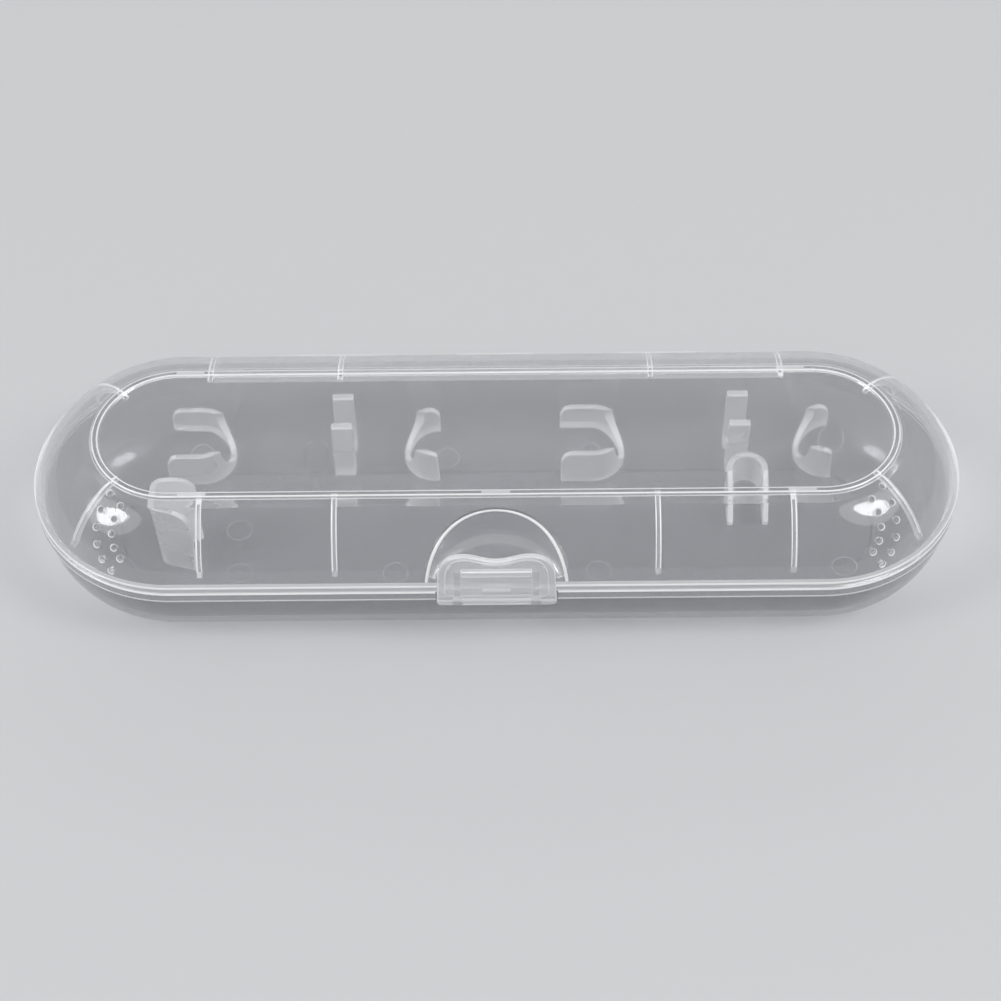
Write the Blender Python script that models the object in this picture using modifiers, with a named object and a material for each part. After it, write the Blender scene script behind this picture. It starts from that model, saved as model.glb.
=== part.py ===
"""Clear travel case for an electric toothbrush: a hinged two-part shell with a clasp and holders inside.

Metres, +Z up. The case stands on its foot ring at z = 0, its length along X, its clasp at the front (-Y) and
its hinge at the back (+Y). The origin is under the middle of the case.
"""

import math

import bmesh
import bpy
from mathutils import Matrix, Vector

MM = 0.001

# Overall size of the closed case, without what stands out past the rim at the front and back
LENGTH = 215 * MM
WIDTH = 68 * MM
HEIGHT = 38 * MM

# Shells
PARTING_Z = 22 * MM
WALL = 1.5 * MM
GAP = 0.3 * MM
FLANGE_STEP = 0.8 * MM
BASE_FLANGE_HEIGHT = 3.0 * MM
LID_FLANGE_HEIGHT = 2.1 * MM
RING_RADIUS = 18 * MM
BEAD_WIDTH = 2.2 * MM
BEAD_HEIGHT = 0.5 * MM
FOOT_HEIGHT = 0.5 * MM
BASE_FULLNESS = 2.4
LID_FULLNESS = 1.68
CEILING_STEP = 0.4 * MM
CURVE_STEPS = 10
TURN_STEPS = 20
BEND_STEPS = 4
WING_STEPS = 8
WELD = 0.01 * MM
SHARP_ANGLE = 35

# Inside of the lid: ribs under the dome, and the locating rib along the hinge side
RIB_WIDTH = 1.3 * MM
RIB_DEPTH = 1.2 * MM
RIB_INNER_X = 36.2 * MM
RIB_FROM_ARC = 7.0 * MM
RIB_END_ANGLE = 45
RIB_FOOT = 0.3 * MM
RIB_FADE = 0.9 * MM
LOCATING_RIB_WIDTH = 1.0 * MM
LOCATING_RIB_DROP = 2.6 * MM
LOCATING_RIB_FOOT = 1.5 * MM

# Vent holes: two arcs at each end, as seen from the front, bored square to the dome
VENT_RADIUS = 0.85 * MM
WIDE_ARC_INSET = 24.6 * MM
WIDE_ARC_DROP = 6.4 * MM
WIDE_ARC_RADIUS = 6.85 * MM
WIDE_ARC_TURNS = (57.5, 34.5, 11.5, -11.5, -34.5, -57.5)
TIGHT_ARC_INSET = 26.3 * MM
TIGHT_ARC_DROP = 5.05 * MM
TIGHT_ARC_RADIUS = 4.75 * MM
TIGHT_ARC_TURNS = (55, 28.5, 2, -24.5, -51)

# Thumb scoop in the front of the lid
SCOOP_RADIUS = 16.9 * MM
SCOOP_SETBACK = 5.0 * MM
SCOOP_SHELF = 4.4 * MM
SCOOP_LIP = 2.4 * MM

# Lid hinge, and how far it and the clasp stand out past the rim
REACH = 3.0 * MM
KNUCKLE_RADIUS = 1.6 * MM
KNUCKLE_COUNT = 7
KNUCKLE_WEB = 2.0 * MM
HINGE_SPAN = 136.5 * MM
PIN_RADIUS = 0.7 * MM

# Clasp plate
LATCH_WIDTH = 27 * MM
LATCH_THICKNESS = 1.5 * MM
LATCH_CLEARANCE = 0.5 * MM
LATCH_FOOT_DROP = 2.7 * MM
LATCH_TOP_DROP = 0.6 * MM
LATCH_DIP = 1.8 * MM
LATCH_EAR_X = 7.2 * MM
LATCH_SHOULDER_DROP = 9.5 * MM
LATCH_FULLNESS = 2.5
LATCH_CORNER = 1.2 * MM
LATCH_STEPS = 8
LATCH_EDGE = 0.35 * MM
LATCH_FRAME = 1.6 * MM
LATCH_POCKET = 0.7 * MM
LATCH_RIB_X = 8.8 * MM
BAR_WIDTH = 15.7 * MM
BAR_HEIGHT = 1.9 * MM
BAR_DROP = 4.0 * MM
HOOK_WIDTH = 6.4 * MM
HOOK_REACH = 1.1 * MM
HOOK_HEIGHT = 1.8 * MM

# Clasp pivot: a rod on two ears of the base, in a barrel along the foot of the clasp
ROD_RADIUS = 0.6 * MM
ROD_CLEARANCE = 0.25 * MM
BARREL_RADIUS = 1.25 * MM
PIVOT_DROP = 1.45 * MM
PIVOT_OUT = 0.7 * MM
EAR_X = 8.8 * MM
EAR_WIDTH = 1.6 * MM
EAR_HALF_HEIGHT = 0.54 * MM

# Holders: thin walls that stand on the base's floor and follow its curve
HOLDER_WALL = 1.3 * MM

# Brush bays along the back: the left one is placed from the left end, the right one from the right end
BAY_INSET = 13.5 * MM
BAY_CRADLE_HEIGHT = 10.4 * MM
LEFT_BAY_INSET = 43.8 * MM
RIGHT_BAY_INSET = 35.1 * MM
BAY_SPACING = 41.2 * MM
LONG_CRADLE_WIDTH = 15.9 * MM
LONG_CRADLE_LENGTH = 15.6 * MM
SHORT_CRADLE_WIDTH = 15.0 * MM
SHORT_CRADLE_LENGTH = 8.8 * MM
CRADLE_CORNER = 3.0 * MM
NOTCH_HALF_WIDTH = 6.0 * MM
NOTCH_DEPTH = 8.7 * MM

# Neck posts between the two cradles of a bay
POST_LENGTH = 5.0 * MM
POST_FROM_LONG_CRADLE = 24.4 * MM
POST_HEIGHT = 18.0 * MM
POST_TOP = 1.8 * MM
NECK_SLOT_TOP = 7.4 * MM
NECK_SLOT_FLOOR = 3.2 * MM

# Handle neck cradle at the right, open to the front
NECK_CRADLE_INSET = 47.5 * MM
NECK_CRADLE_WIDTH = 9.7 * MM
NECK_CRADLE_LENGTH = 14.5 * MM
NECK_CRADLE_FROM_BAY = 6.8 * MM
NECK_CRADLE_HEIGHT = 9.6 * MM
NECK_CRADLE_TOE = 1.5 * MM

# Handle end cradle at the left: a web across the butt of the handle and a wing along each side
END_CRADLE_INSET = 27.9 * MM
END_CRADLE_FORWARD = 6.9 * MM
END_CRADLE_HEIGHT = 21.6 * MM
END_WEB_HALF = 3.4 * MM
END_WEB_LEAN = 0.8 * MM
END_BEND = 1.8 * MM
FRONT_WING_LENGTH = 8.7 * MM
FRONT_WING_FLARE = 2.3 * MM
FRONT_TIP_HEIGHT = 13.5 * MM
FRONT_WING_FULLNESS = 3.8
BACK_WING_LENGTH = 9.5 * MM
BACK_WING_FLARE = 3.4 * MM
BACK_TIP_HEIGHT = 12.6 * MM
BACK_WING_FULLNESS = 2.0
BACK_WING_LEAN = 3.0 * MM

# Worked out from the sizes above
RIM = WIDTH / 2
ARC_X = LENGTH / 2 - RIM
WALL_OUT = RIM - FLANGE_STEP
WALL_IN = WALL_OUT - WALL
FLOOR_Z = FOOT_HEIGHT + WALL
BASE_TOP = PARTING_Z - GAP / 2
LID_BOTTOM = PARTING_Z + GAP / 2
BASE_FLANGE_Z = PARTING_Z - BASE_FLANGE_HEIGHT
LID_FLANGE_Z = PARTING_Z + LID_FLANGE_HEIGHT
CROWN_Z = HEIGHT - BEAD_HEIGHT
BEAD_IN = RING_RADIUS - BEAD_WIDTH / 2
BEAD_OUT = RING_RADIUS + BEAD_WIDTH / 2
HINGE_Y = RIM + REACH - KNUCKLE_RADIUS
LATCH_BACK = -(RIM + LATCH_CLEARANCE)
LATCH_FRONT = LATCH_BACK - LATCH_THICKNESS
LATCH_FOOT = PARTING_Z - LATCH_FOOT_DROP
LATCH_TOP = HEIGHT - LATCH_TOP_DROP
PIVOT_Y = -(RIM + PIVOT_OUT)
PIVOT_Z = PARTING_Z - PIVOT_DROP
BAY_Y = RIM - BAY_INSET

# Frames for outlines drawn flat as (u, v) with their thickness along w
SIDE_VIEW = Matrix(((0, 0, 1, 0), (1, 0, 0, 0), (0, 1, 0, 0), (0, 0, 0, 1)))
FRONT_VIEW = Matrix(((1, 0, 0, 0), (0, 0, 1, 0), (0, 1, 0, 0), (0, 0, 0, 1)))


def new_collection(name):
    collection = bpy.data.collections.new(name)
    bpy.context.scene.collection.children.link(collection)
    return collection


def make_object(name, mesh, collection):
    """Turn a bmesh into a named object, smooth but for its sharp edges."""
    bmesh.ops.recalc_face_normals(mesh, faces=mesh.faces)
    data = bpy.data.meshes.new(name)
    mesh.to_mesh(data)
    mesh.free()
    data.shade_smooth()
    data.set_sharp_from_angle(angle=math.radians(SHARP_ANGLE))
    piece = bpy.data.objects.new(name, data)
    collection.objects.link(piece)
    return piece


def make_tool(name, mesh, cutters):
    """An object that only cuts, joins or trims others."""
    tool = make_object(name, mesh, cutters)
    tool.display_type = "WIRE"
    tool.hide_render = True
    return tool


def combine(target, operation, tool):
    step = target.modifiers.new(f"{operation.lower()} {tool.name}", "BOOLEAN")
    step.operation = operation
    step.object = tool


def plastic(name, colour, roughness, transmission):
    material = bpy.data.materials.new(name)
    material.use_nodes = True
    shader = material.node_tree.nodes["Principled BSDF"]
    shader.inputs["Base Color"].default_value = (*colour, 1)
    shader.inputs["Roughness"].default_value = roughness
    shader.inputs["Metallic"].default_value = 0.0
    shader.inputs["Transmission Weight"].default_value = transmission
    return material


def quadrant(start, end, fullness):
    """Superellipse quarter that leaves start level and meets end upright."""
    points = []
    for step in range(CURVE_STEPS + 1):
        turn = math.pi / 2 * step / CURVE_STEPS
        along = math.sin(turn) ** (2 / fullness)
        across = max(math.cos(turn), 0) ** (2 / fullness)
        points.append((start[0] + (end[0] - start[0]) * along, end[1] + (start[1] - end[1]) * across))
    return points


def inset(curve, depth, upward):
    """The curve moved square to itself: upward is 1 to reach the base's inside and -1 to reach the lid's."""
    moved = []
    for index, (radius, height) in enumerate(curve):
        before, after = curve[max(index - 1, 0)], curve[min(index + 1, len(curve) - 1)]
        run, rise = after[0] - before[0], after[1] - before[1]
        length = math.hypot(run, rise)
        moved.append((radius - upward * rise / length * depth, height + upward * run / length * depth))
    return moved


def radius_at(curve, height):
    """The curve's radius at a height, between its nearest points."""
    for (inner, start), (outer, end) in zip(curve, curve[1:]):
        if min(start, end) <= height <= max(start, end) and start != end:
            return inner + (outer - inner) * (height - start) / (end - start)
    return curve[-1][0]


def turned(profile):
    """Sweep an open (radius, height) profile round the plan of the case and close its two ends.

    The plan is a half turn about each arc centre, with straight runs between them.
    """
    mesh = bmesh.new()
    corners = [mesh.verts.new((ARC_X, -radius, height)) for radius, height in profile]
    edges = [mesh.edges.new(pair) for pair in zip(corners, corners[1:])]
    for side in (1, -1):
        turn = bmesh.ops.spin(mesh, geom=edges, cent=(side * ARC_X, 0, 0), axis=(0, 0, 1),
                              angle=math.pi, steps=TURN_STEPS)
        edges = [part for part in turn["geom_last"] if isinstance(part, bmesh.types.BMEdge)]
        run = bmesh.ops.extrude_edge_only(mesh, edges=edges)["geom"]
        moved = {part for part in run if isinstance(part, bmesh.types.BMVert)}
        bmesh.ops.translate(mesh, verts=list(moved), vec=(-side * 2 * ARC_X, 0, 0))
        edges = [part for part in run if isinstance(part, bmesh.types.BMEdge) and set(part.verts) <= moved]
    bmesh.ops.remove_doubles(mesh, verts=mesh.verts, dist=WELD)
    bmesh.ops.holes_fill(mesh, edges=mesh.edges, sides=0)
    return mesh


def add_block(mesh, low, high):
    """A box between two corners."""
    size = Vector(high) - Vector(low)
    middle = (Vector(high) + Vector(low)) / 2
    bmesh.ops.create_cube(mesh, size=1, matrix=Matrix.Translation(middle) @ Matrix.Diagonal((*size, 1)))


def add_rod(mesh, start, end, radius, segments=20):
    """A cylinder between two points."""
    line = Vector(end) - Vector(start)
    place = Matrix.Translation((Vector(start) + Vector(end)) / 2)
    bmesh.ops.create_cone(mesh, cap_ends=True, segments=segments, radius1=radius, radius2=radius,
                          depth=line.length, matrix=place @ line.to_track_quat("Z", "Y").to_matrix().to_4x4())


def add_slab(mesh, outline, thickness, place):
    """A flat outline of (u, v) points, extruded half the thickness each way and put in its place."""
    face = mesh.faces.new([mesh.verts.new(place @ Vector((u, v, -thickness / 2))) for u, v in outline])
    grown = bmesh.ops.extrude_face_region(mesh, geom=[face])["geom"]
    shift = place.to_3x3() @ Vector((0, 0, thickness))
    bmesh.ops.translate(mesh, verts=[part for part in grown if isinstance(part, bmesh.types.BMVert)], vec=shift)


def base_curve():
    return quadrant((RING_RADIUS, 0), (WALL_OUT, BASE_FLANGE_Z), BASE_FULLNESS)


def lid_curve():
    return quadrant((RING_RADIUS, CROWN_Z), (WALL_OUT, PARTING_Z), LID_FULLNESS)


def base_profile():
    """From the middle of the underside, out round the flange, and back down to the floor inside."""
    outer = base_curve()
    inner = inset(outer, WALL, 1)
    profile = [(BEAD_IN - FOOT_HEIGHT, FOOT_HEIGHT), (BEAD_IN, 0), (BEAD_OUT, 0)]
    profile += [point for point in outer if point[0] > BEAD_OUT + FOOT_HEIGHT]
    profile += [(RIM, BASE_FLANGE_Z), (RIM, BASE_TOP), (WALL_IN, BASE_TOP)]
    profile += [point for point in reversed(inner) if point[1] > FLOOR_Z + FOOT_HEIGHT]
    profile.append((radius_at(inner, FLOOR_Z), FLOOR_Z))
    return profile


def lid_profile():
    """From the middle of the top, out over the bead and dome to the flange, and back up to the ceiling."""
    outer = lid_curve()
    inner = inset(outer, WALL, -1)
    profile = [(BEAD_IN, CROWN_Z), (BEAD_IN + BEAD_HEIGHT, HEIGHT), (BEAD_OUT - BEAD_HEIGHT, HEIGHT)]
    profile.append((BEAD_OUT, CROWN_Z - BEAD_HEIGHT / 4))
    profile += [point for point in outer if point[0] > BEAD_OUT + BEAD_HEIGHT and point[1] > LID_FLANGE_Z + BEAD_HEIGHT]
    profile += [(radius_at(outer, LID_FLANGE_Z), LID_FLANGE_Z), (RIM, LID_FLANGE_Z), (RIM, LID_BOTTOM)]
    profile.append((radius_at(inner, LID_BOTTOM), LID_BOTTOM))
    ceiling = CROWN_Z - WALL - CEILING_STEP
    profile += [point for point in reversed(inner) if LID_BOTTOM + BEAD_HEIGHT < point[1] < ceiling - GAP]
    profile.append((radius_at(inner, ceiling), ceiling))
    return profile


def hinge_cells(owner):
    """Start and end along X of one half's share of the hinge: the base has the cell at each end."""
    pitch = HINGE_SPAN / KNUCKLE_COUNT
    first = 0 if owner == "base" else 1
    return [(index * pitch - HINGE_SPAN / 2, (index + 1) * pitch - HINGE_SPAN / 2)
            for index in range(first, KNUCKLE_COUNT, 2)]


def add_hinge(piece, owner, cutters):
    """Knuckles on webs from one half's flange, room for the other half's, and the bore for the pin."""
    barrels, webs, relief, bore = bmesh.new(), bmesh.new(), bmesh.new(), bmesh.new()
    low, high = (BASE_TOP - KNUCKLE_WEB, BASE_TOP) if owner == "base" else (LID_BOTTOM, LID_BOTTOM + KNUCKLE_WEB)
    for start, end in hinge_cells("lid" if owner == "base" else "base"):
        add_rod(relief, (start, HINGE_Y, PARTING_Z), (end, HINGE_Y, PARTING_Z), KNUCKLE_RADIUS + GAP)
    for start, end in hinge_cells(owner):
        start, end = start + GAP / 2, end - GAP / 2
        add_rod(barrels, (start, HINGE_Y, PARTING_Z), (end, HINGE_Y, PARTING_Z), KNUCKLE_RADIUS)
        add_block(webs, (start, WALL_OUT - GAP, low), (end, HINGE_Y, high))
    reach = HINGE_SPAN / 2 + GAP
    add_rod(bore, (-reach, HINGE_Y, PARTING_Z), (reach, HINGE_Y, PARTING_Z), PIN_RADIUS + GAP)
    combine(piece, "DIFFERENCE", make_tool(f"{owner}_hinge_relief", relief, cutters))
    combine(piece, "UNION", make_tool(f"{owner}_knuckle_webs", webs, cutters))
    combine(piece, "UNION", make_tool(f"{owner}_knuckles", barrels, cutters))
    combine(piece, "DIFFERENCE", make_tool(f"{owner}_hinge_bore", bore, cutters))


def add_latch_seat(base, cutters):
    """A notch in the front flange, with two ears and the rod that the clasp turns on."""
    notch, ears, rod = bmesh.new(), bmesh.new(), bmesh.new()
    half = LATCH_WIDTH / 2 + GAP
    add_block(notch, (-half, -RIM - REACH, BASE_FLANGE_Z - GAP), (half, -WALL_OUT, PARTING_Z + GAP))
    for side in (-1, 1):
        middle = side * EAR_X
        add_block(ears, (middle - EAR_WIDTH / 2, PIVOT_Y, PIVOT_Z - EAR_HALF_HEIGHT),
                  (middle + EAR_WIDTH / 2, -WALL_OUT + WALL / 2, PIVOT_Z + EAR_HALF_HEIGHT))
    reach = LATCH_WIDTH / 2 - GAP
    add_rod(rod, (-reach, PIVOT_Y, PIVOT_Z), (reach, PIVOT_Y, PIVOT_Z), ROD_RADIUS, segments=16)
    combine(base, "DIFFERENCE", make_tool("latch_notch", notch, cutters))
    combine(base, "UNION", make_tool("latch_ears", ears, cutters))
    combine(base, "UNION", make_tool("latch_rod", rod, cutters))


def build_base(case, cutters):
    base = make_object("base_shell", turned(base_profile()), case)
    add_latch_seat(base, cutters)
    add_hinge(base, "base", cutters)
    return base


def rib_outline():
    """A rib under the dome: its back runs inside the wall, from the ring to where its edge fades out by the rim."""
    spine, edge = inset(lid_curve(), WALL / 2, -1), inset(lid_curve(), WALL + RIB_DEPTH, -1)
    foot = LID_FLANGE_Z + RIB_FOOT
    upper = [(BEAD_IN, CROWN_Z - WALL / 2)] + [point for point in spine if point[1] > foot + GAP]
    lower = [(BEAD_IN, CROWN_Z - WALL - RIB_DEPTH)] + [point for point in edge if point[1] > foot + RIB_FADE + GAP]
    upper.append((radius_at(spine, foot), foot))
    lower.append((radius_at(edge, foot + RIB_FADE), foot + RIB_FADE))
    return upper + lower[::-1]


def lid_ribs():
    """Ribs straight across at four places on each side, and one on each slant at the ends."""
    mesh = bmesh.new()
    outline = rib_outline()
    places = []
    for x in (RIB_INNER_X, ARC_X - RIB_FROM_ARC):
        places += [(side * x, turn) for side in (-1, 1) for turn in (-90, 90)]
    places += [(ARC_X, turn) for turn in (-RIB_END_ANGLE, RIB_END_ANGLE)]
    places += [(-ARC_X, 180 + turn) for turn in (-RIB_END_ANGLE, RIB_END_ANGLE)]
    for x, turn in places:
        place = Matrix.Translation((x, 0, 0)) @ Matrix.Rotation(math.radians(turn), 4, "Z") @ FRONT_VIEW
        add_slab(mesh, outline, RIB_WIDTH, place)
    return mesh


def locating_rib():
    """A rib that hangs from the lid just inside the base's back wall, on a foot that runs into the lid's wall."""
    mesh = bmesh.new()
    back, front = WALL_IN - GAP, WALL_IN - GAP - LOCATING_RIB_WIDTH
    step, top, end = LID_BOTTOM + GAP, LID_BOTTOM + LOCATING_RIB_FOOT, PARTING_Z - LOCATING_RIB_DROP
    outline = [(front, end), (back, end), (back, step), (WALL_IN + WALL / 2, step), (WALL_IN + WALL / 2, top),
               (front, top)]
    add_slab(mesh, outline, HINGE_SPAN, SIDE_VIEW)
    return mesh


def scoop_drum(margin):
    """An upright drum round the thumb scoop, whose underside slopes from the shelf at the back to the lip."""
    mesh = bmesh.new()
    centre, top = -(RIM + SCOOP_SETBACK), HEIGHT + WALL
    add_rod(mesh, (0, centre, PARTING_Z), (0, centre, top), SCOOP_RADIUS + margin, segments=72)
    slope = (SCOOP_SHELF - SCOOP_LIP) / (SCOOP_RADIUS - SCOOP_SETBACK)
    for corner in mesh.verts:
        if corner.co.z < HEIGHT:
            corner.co.z = PARTING_Z + SCOOP_LIP + slope * (corner.co.y + RIM) - margin
    return mesh


def scoop_block(cutters):
    """The wall and shelf round the thumb scoop, trimmed to stay within the dome's wall."""
    core = [point for point in inset(lid_curve(), WALL / 2, -1) if point[1] > LID_FLANGE_Z]
    core.append((core[-1][0], LID_BOTTOM + GAP))
    block = make_tool("scoop_block", scoop_drum(WALL), cutters)
    combine(block, "INTERSECT", make_tool("lid_core", turned(core), cutters))
    return block


def vent_drills():
    """Short drills square to the dome, along two arcs at each end of the front."""
    mesh = bmesh.new()
    curve = lid_curve()
    arcs = ((WIDE_ARC_INSET, WIDE_ARC_DROP, WIDE_ARC_RADIUS, WIDE_ARC_TURNS),
            (TIGHT_ARC_INSET, TIGHT_ARC_DROP, TIGHT_ARC_RADIUS, TIGHT_ARC_TURNS))
    for end_inset, drop, radius, turns in arcs:
        for turn in turns:
            from_arc = LENGTH / 2 - end_inset + radius * math.cos(math.radians(turn)) - ARC_X
            height = CROWN_Z - drop + radius * math.sin(math.radians(turn))
            reach = radius_at(curve, height)
            slope = (radius_at(curve, height - GAP) - radius_at(curve, height + GAP)) / (2 * GAP)
            across = math.sqrt(reach ** 2 - from_arc ** 2)
            for side in (-1, 1):
                point = Vector((side * (ARC_X + from_arc), -across, height))
                square = Vector((side * from_arc / reach, -across / reach, slope)).normalized()
                add_rod(mesh, point - square * WALL * 1.5, point + square * WALL, VENT_RADIUS, segments=12)
    return mesh


def build_lid(case, cutters):
    lid = make_object("lid_shell", turned(lid_profile()), case)
    combine(lid, "UNION", scoop_block(cutters))
    combine(lid, "DIFFERENCE", make_tool("scoop_cut", scoop_drum(0), cutters))
    combine(lid, "UNION", make_tool("lid_ribs", lid_ribs(), cutters))
    combine(lid, "UNION", make_tool("locating_rib", locating_rib(), cutters))
    combine(lid, "DIFFERENCE", make_tool("vent_drills", vent_drills(), cutters))
    add_hinge(lid, "lid", cutters)
    return lid


def build_hinge_pin(case):
    mesh = bmesh.new()
    add_rod(mesh, (-HINGE_SPAN / 2, HINGE_Y, PARTING_Z), (HINGE_SPAN / 2, HINGE_Y, PARTING_Z), PIN_RADIUS, segments=16)
    return make_object("hinge_pin", mesh, case)


def latch_outline(margin, foot):
    """The clasp seen from the front: rounded foot, slightly tapered sides, and two ears with a dip between them."""
    half, top = LATCH_WIDTH / 2 - margin, LATCH_TOP - margin
    shoulder = LATCH_TOP - LATCH_SHOULDER_DROP
    right = []
    for step in range(0, LATCH_STEPS + 1, 2):
        turn = math.pi / 2 * step / LATCH_STEPS
        right.append((half - LATCH_CORNER * (1 - math.sin(turn)), foot + LATCH_CORNER * (1 - math.cos(turn))))
    for step in range(LATCH_STEPS + 1):
        turn = math.pi / 2 * step / LATCH_STEPS
        right.append((LATCH_EAR_X + (half - GAP - LATCH_EAR_X) * math.cos(turn) ** (2 / LATCH_FULLNESS),
                      shoulder + (top - shoulder) * math.sin(turn) ** (2 / LATCH_FULLNESS)))
    for step in range(1, LATCH_STEPS):
        x = LATCH_EAR_X * (1 - step / LATCH_STEPS)
        right.append((x, top - LATCH_DIP * (1 + math.cos(math.pi * x / LATCH_EAR_X)) / 2))
    left = [(-x, z) for x, z in reversed(right)]
    return right + [(0, top - LATCH_DIP)] + left


def latch_plate():
    mesh = bmesh.new()
    place = Matrix.Translation((0, (LATCH_FRONT + LATCH_BACK) / 2, 0)) @ FRONT_VIEW
    add_slab(mesh, latch_outline(0, LATCH_FOOT), LATCH_THICKNESS, place)
    return mesh


def latch_pocket():
    """The shallow recess that thins the clasp inside its frame, open to the back."""
    mesh = bmesh.new()
    place = Matrix.Translation((0, LATCH_BACK, 0)) @ FRONT_VIEW
    add_slab(mesh, latch_outline(LATCH_FRAME, PIVOT_Z + BARREL_RADIUS + GAP), 2 * LATCH_POCKET, place)
    return mesh


def latch_fittings():
    """The grip bar on the front, and on the back the hook that catches the lid's flange and two stiffening ribs."""
    mesh = bmesh.new()
    bar_top = LATCH_TOP - BAR_DROP
    add_block(mesh, (-BAR_WIDTH / 2, -RIM - REACH, bar_top - BAR_HEIGHT),
              (BAR_WIDTH / 2, LATCH_FRONT + LATCH_POCKET / 2, bar_top))
    root = LATCH_FRONT + LATCH_POCKET
    tip, seat = LATCH_BACK + HOOK_REACH, LID_FLANGE_Z + GAP
    outline = [(root, seat), (tip, seat), (tip, seat + HOOK_HEIGHT / 3), (root, seat + HOOK_HEIGHT)]
    add_slab(mesh, outline, HOOK_WIDTH, SIDE_VIEW)
    for side in (-1, 1):
        x = side * LATCH_RIB_X
        add_block(mesh, (x - RIB_WIDTH / 2, root, PIVOT_Z + BARREL_RADIUS / 2),
                  (x + RIB_WIDTH / 2, LATCH_BACK, bar_top - BAR_HEIGHT))
    return mesh


def latch_bore():
    """The bore for the rod, right through the barrel."""
    mesh = bmesh.new()
    half, room = LATCH_WIDTH / 2 + GAP, ROD_RADIUS + ROD_CLEARANCE
    add_rod(mesh, (-half, PIVOT_Y, PIVOT_Z), (half, PIVOT_Y, PIVOT_Z), room, segments=16)
    return mesh


def ear_slots():
    """A slot at each ear of the base, open to the back and to the foot so that the clasp can turn."""
    mesh = bmesh.new()
    half, room = EAR_WIDTH / 2 + GAP, ROD_RADIUS + GAP
    for side in (-1, 1):
        x = side * EAR_X
        add_block(mesh, (x - half, PIVOT_Y - room, LATCH_FOOT - WALL), (x + half, -WALL_OUT, PIVOT_Z + room))
    return mesh


def build_latch(case, cutters):
    latch = make_object("latch_clasp", latch_plate(), case)
    edge = latch.modifiers.new("soft edges", "BEVEL")
    edge.width = LATCH_EDGE
    edge.segments = 2
    edge.limit_method = "ANGLE"
    edge.angle_limit = math.radians(50)
    barrel = bmesh.new()
    reach = LATCH_WIDTH / 2 - GAP
    add_rod(barrel, (-reach, PIVOT_Y, PIVOT_Z), (reach, PIVOT_Y, PIVOT_Z), BARREL_RADIUS)
    combine(latch, "DIFFERENCE", make_tool("latch_pocket", latch_pocket(), cutters))
    combine(latch, "UNION", make_tool("latch_barrel", barrel, cutters))
    combine(latch, "UNION", make_tool("latch_fittings", latch_fittings(), cutters))
    combine(latch, "DIFFERENCE", make_tool("latch_bore", latch_bore(), cutters))
    combine(latch, "DIFFERENCE", make_tool("ear_slots", ear_slots(), cutters))
    return latch


def holder_space(cutters):
    """The inside of the base less the gap that holders keep to its floor and walls."""
    inner = inset(base_curve(), WALL + GAP, 1)
    floor = FLOOR_Z + GAP
    profile = [(radius_at(inner, floor), floor)]
    profile += [point for point in inner if point[1] > floor + FOOT_HEIGHT]
    profile += [(WALL_IN - GAP, HEIGHT)]
    return make_tool("holder_space", turned(profile), cutters)


def standing_wall(name, foot, top, case, space):
    """A thin wall over a line on the floor: foot and top are lines of as many points, and the floor trims it."""
    mesh = bmesh.new()
    low = [mesh.verts.new(point) for point in foot]
    high = [mesh.verts.new(point) for point in top]
    for index in range(len(foot) - 1):
        mesh.faces.new((low[index], low[index + 1], high[index + 1], high[index]))
    wall = make_object(name, mesh, case)
    thicken = wall.modifiers.new("wall", "SOLIDIFY")
    thicken.thickness = HOLDER_WALL
    thicken.offset = 0
    thicken.use_even_offset = True
    combine(wall, "INTERSECT", space)
    return wall


def cradle_line(width, length):
    """A U on its side, centred on y = 0: closed end at x = 0, open end at x = -length."""
    radius = (width - HOLDER_WALL) / 2
    arc = -HOLDER_WALL / 2 - radius
    straight = [(-length + (length + arc) * step / 4, radius) for step in range(4)]
    bend = [(arc + radius * math.sin(math.pi * step / 12), radius * math.cos(math.pi * step / 12))
            for step in range(13)]
    return straight + bend + [(x, -y) for x, y in reversed(straight)]


def corner_drop(distance):
    """How far a cradle's top is rounded down near its open end."""
    near = max(CRADLE_CORNER - distance, 0)
    return CRADLE_CORNER - math.sqrt(CRADLE_CORNER ** 2 - near ** 2)


def build_brush_cradle(name, closed_x, facing, width, length, case, cutters, space):
    """A U-shaped wall for a brush head, notched in its closed bend for the neck. facing is -1 where it opens left."""
    top_z = FLOOR_Z + BAY_CRADLE_HEIGHT
    foot, top = [], []
    for along, across in cradle_line(width, length):
        x, y = closed_x - facing * along, BAY_Y + across
        foot.append((x, y, 0))
        top.append((x, y, top_z - corner_drop(along + length)))
    cradle = standing_wall(name, foot, top, case, space)
    notch = bmesh.new()
    start, end = closed_x + facing * width / 3, closed_x - facing * HOLDER_WALL
    add_rod(notch, (start, 0, 0), (end, 0, 0), NOTCH_HALF_WIDTH, segments=32)
    bmesh.ops.scale(notch, verts=notch.verts, vec=(1, 1, NOTCH_DEPTH / NOTCH_HALF_WIDTH))
    bmesh.ops.translate(notch, verts=notch.verts, vec=(0, BAY_Y, top_z))
    combine(cradle, "DIFFERENCE", make_tool(f"{name}_notch", notch, cutters))
    return cradle


def build_neck_post(name, x, side, case, space):
    """A tapered post beside the brush's neck: side is -1 in front of the neck and 1 behind it."""
    top_z = FLOOR_Z + POST_HEIGHT
    outer = NECK_SLOT_TOP / 2 + POST_TOP
    outline = [(NECK_SLOT_FLOOR / 2, 0), (outer, 0), (outer, top_z), (NECK_SLOT_TOP / 2, top_z)]
    mesh = bmesh.new()
    add_slab(mesh, [(side * across, height) for across, height in outline], POST_LENGTH, SIDE_VIEW)
    post = make_object(name, mesh, case)
    post.location = (x, BAY_Y, 0)
    edge = post.modifiers.new("soft edges", "BEVEL")
    edge.width = HOLDER_WALL / 4
    edge.segments = 2
    combine(post, "INTERSECT", space)
    return post


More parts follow.
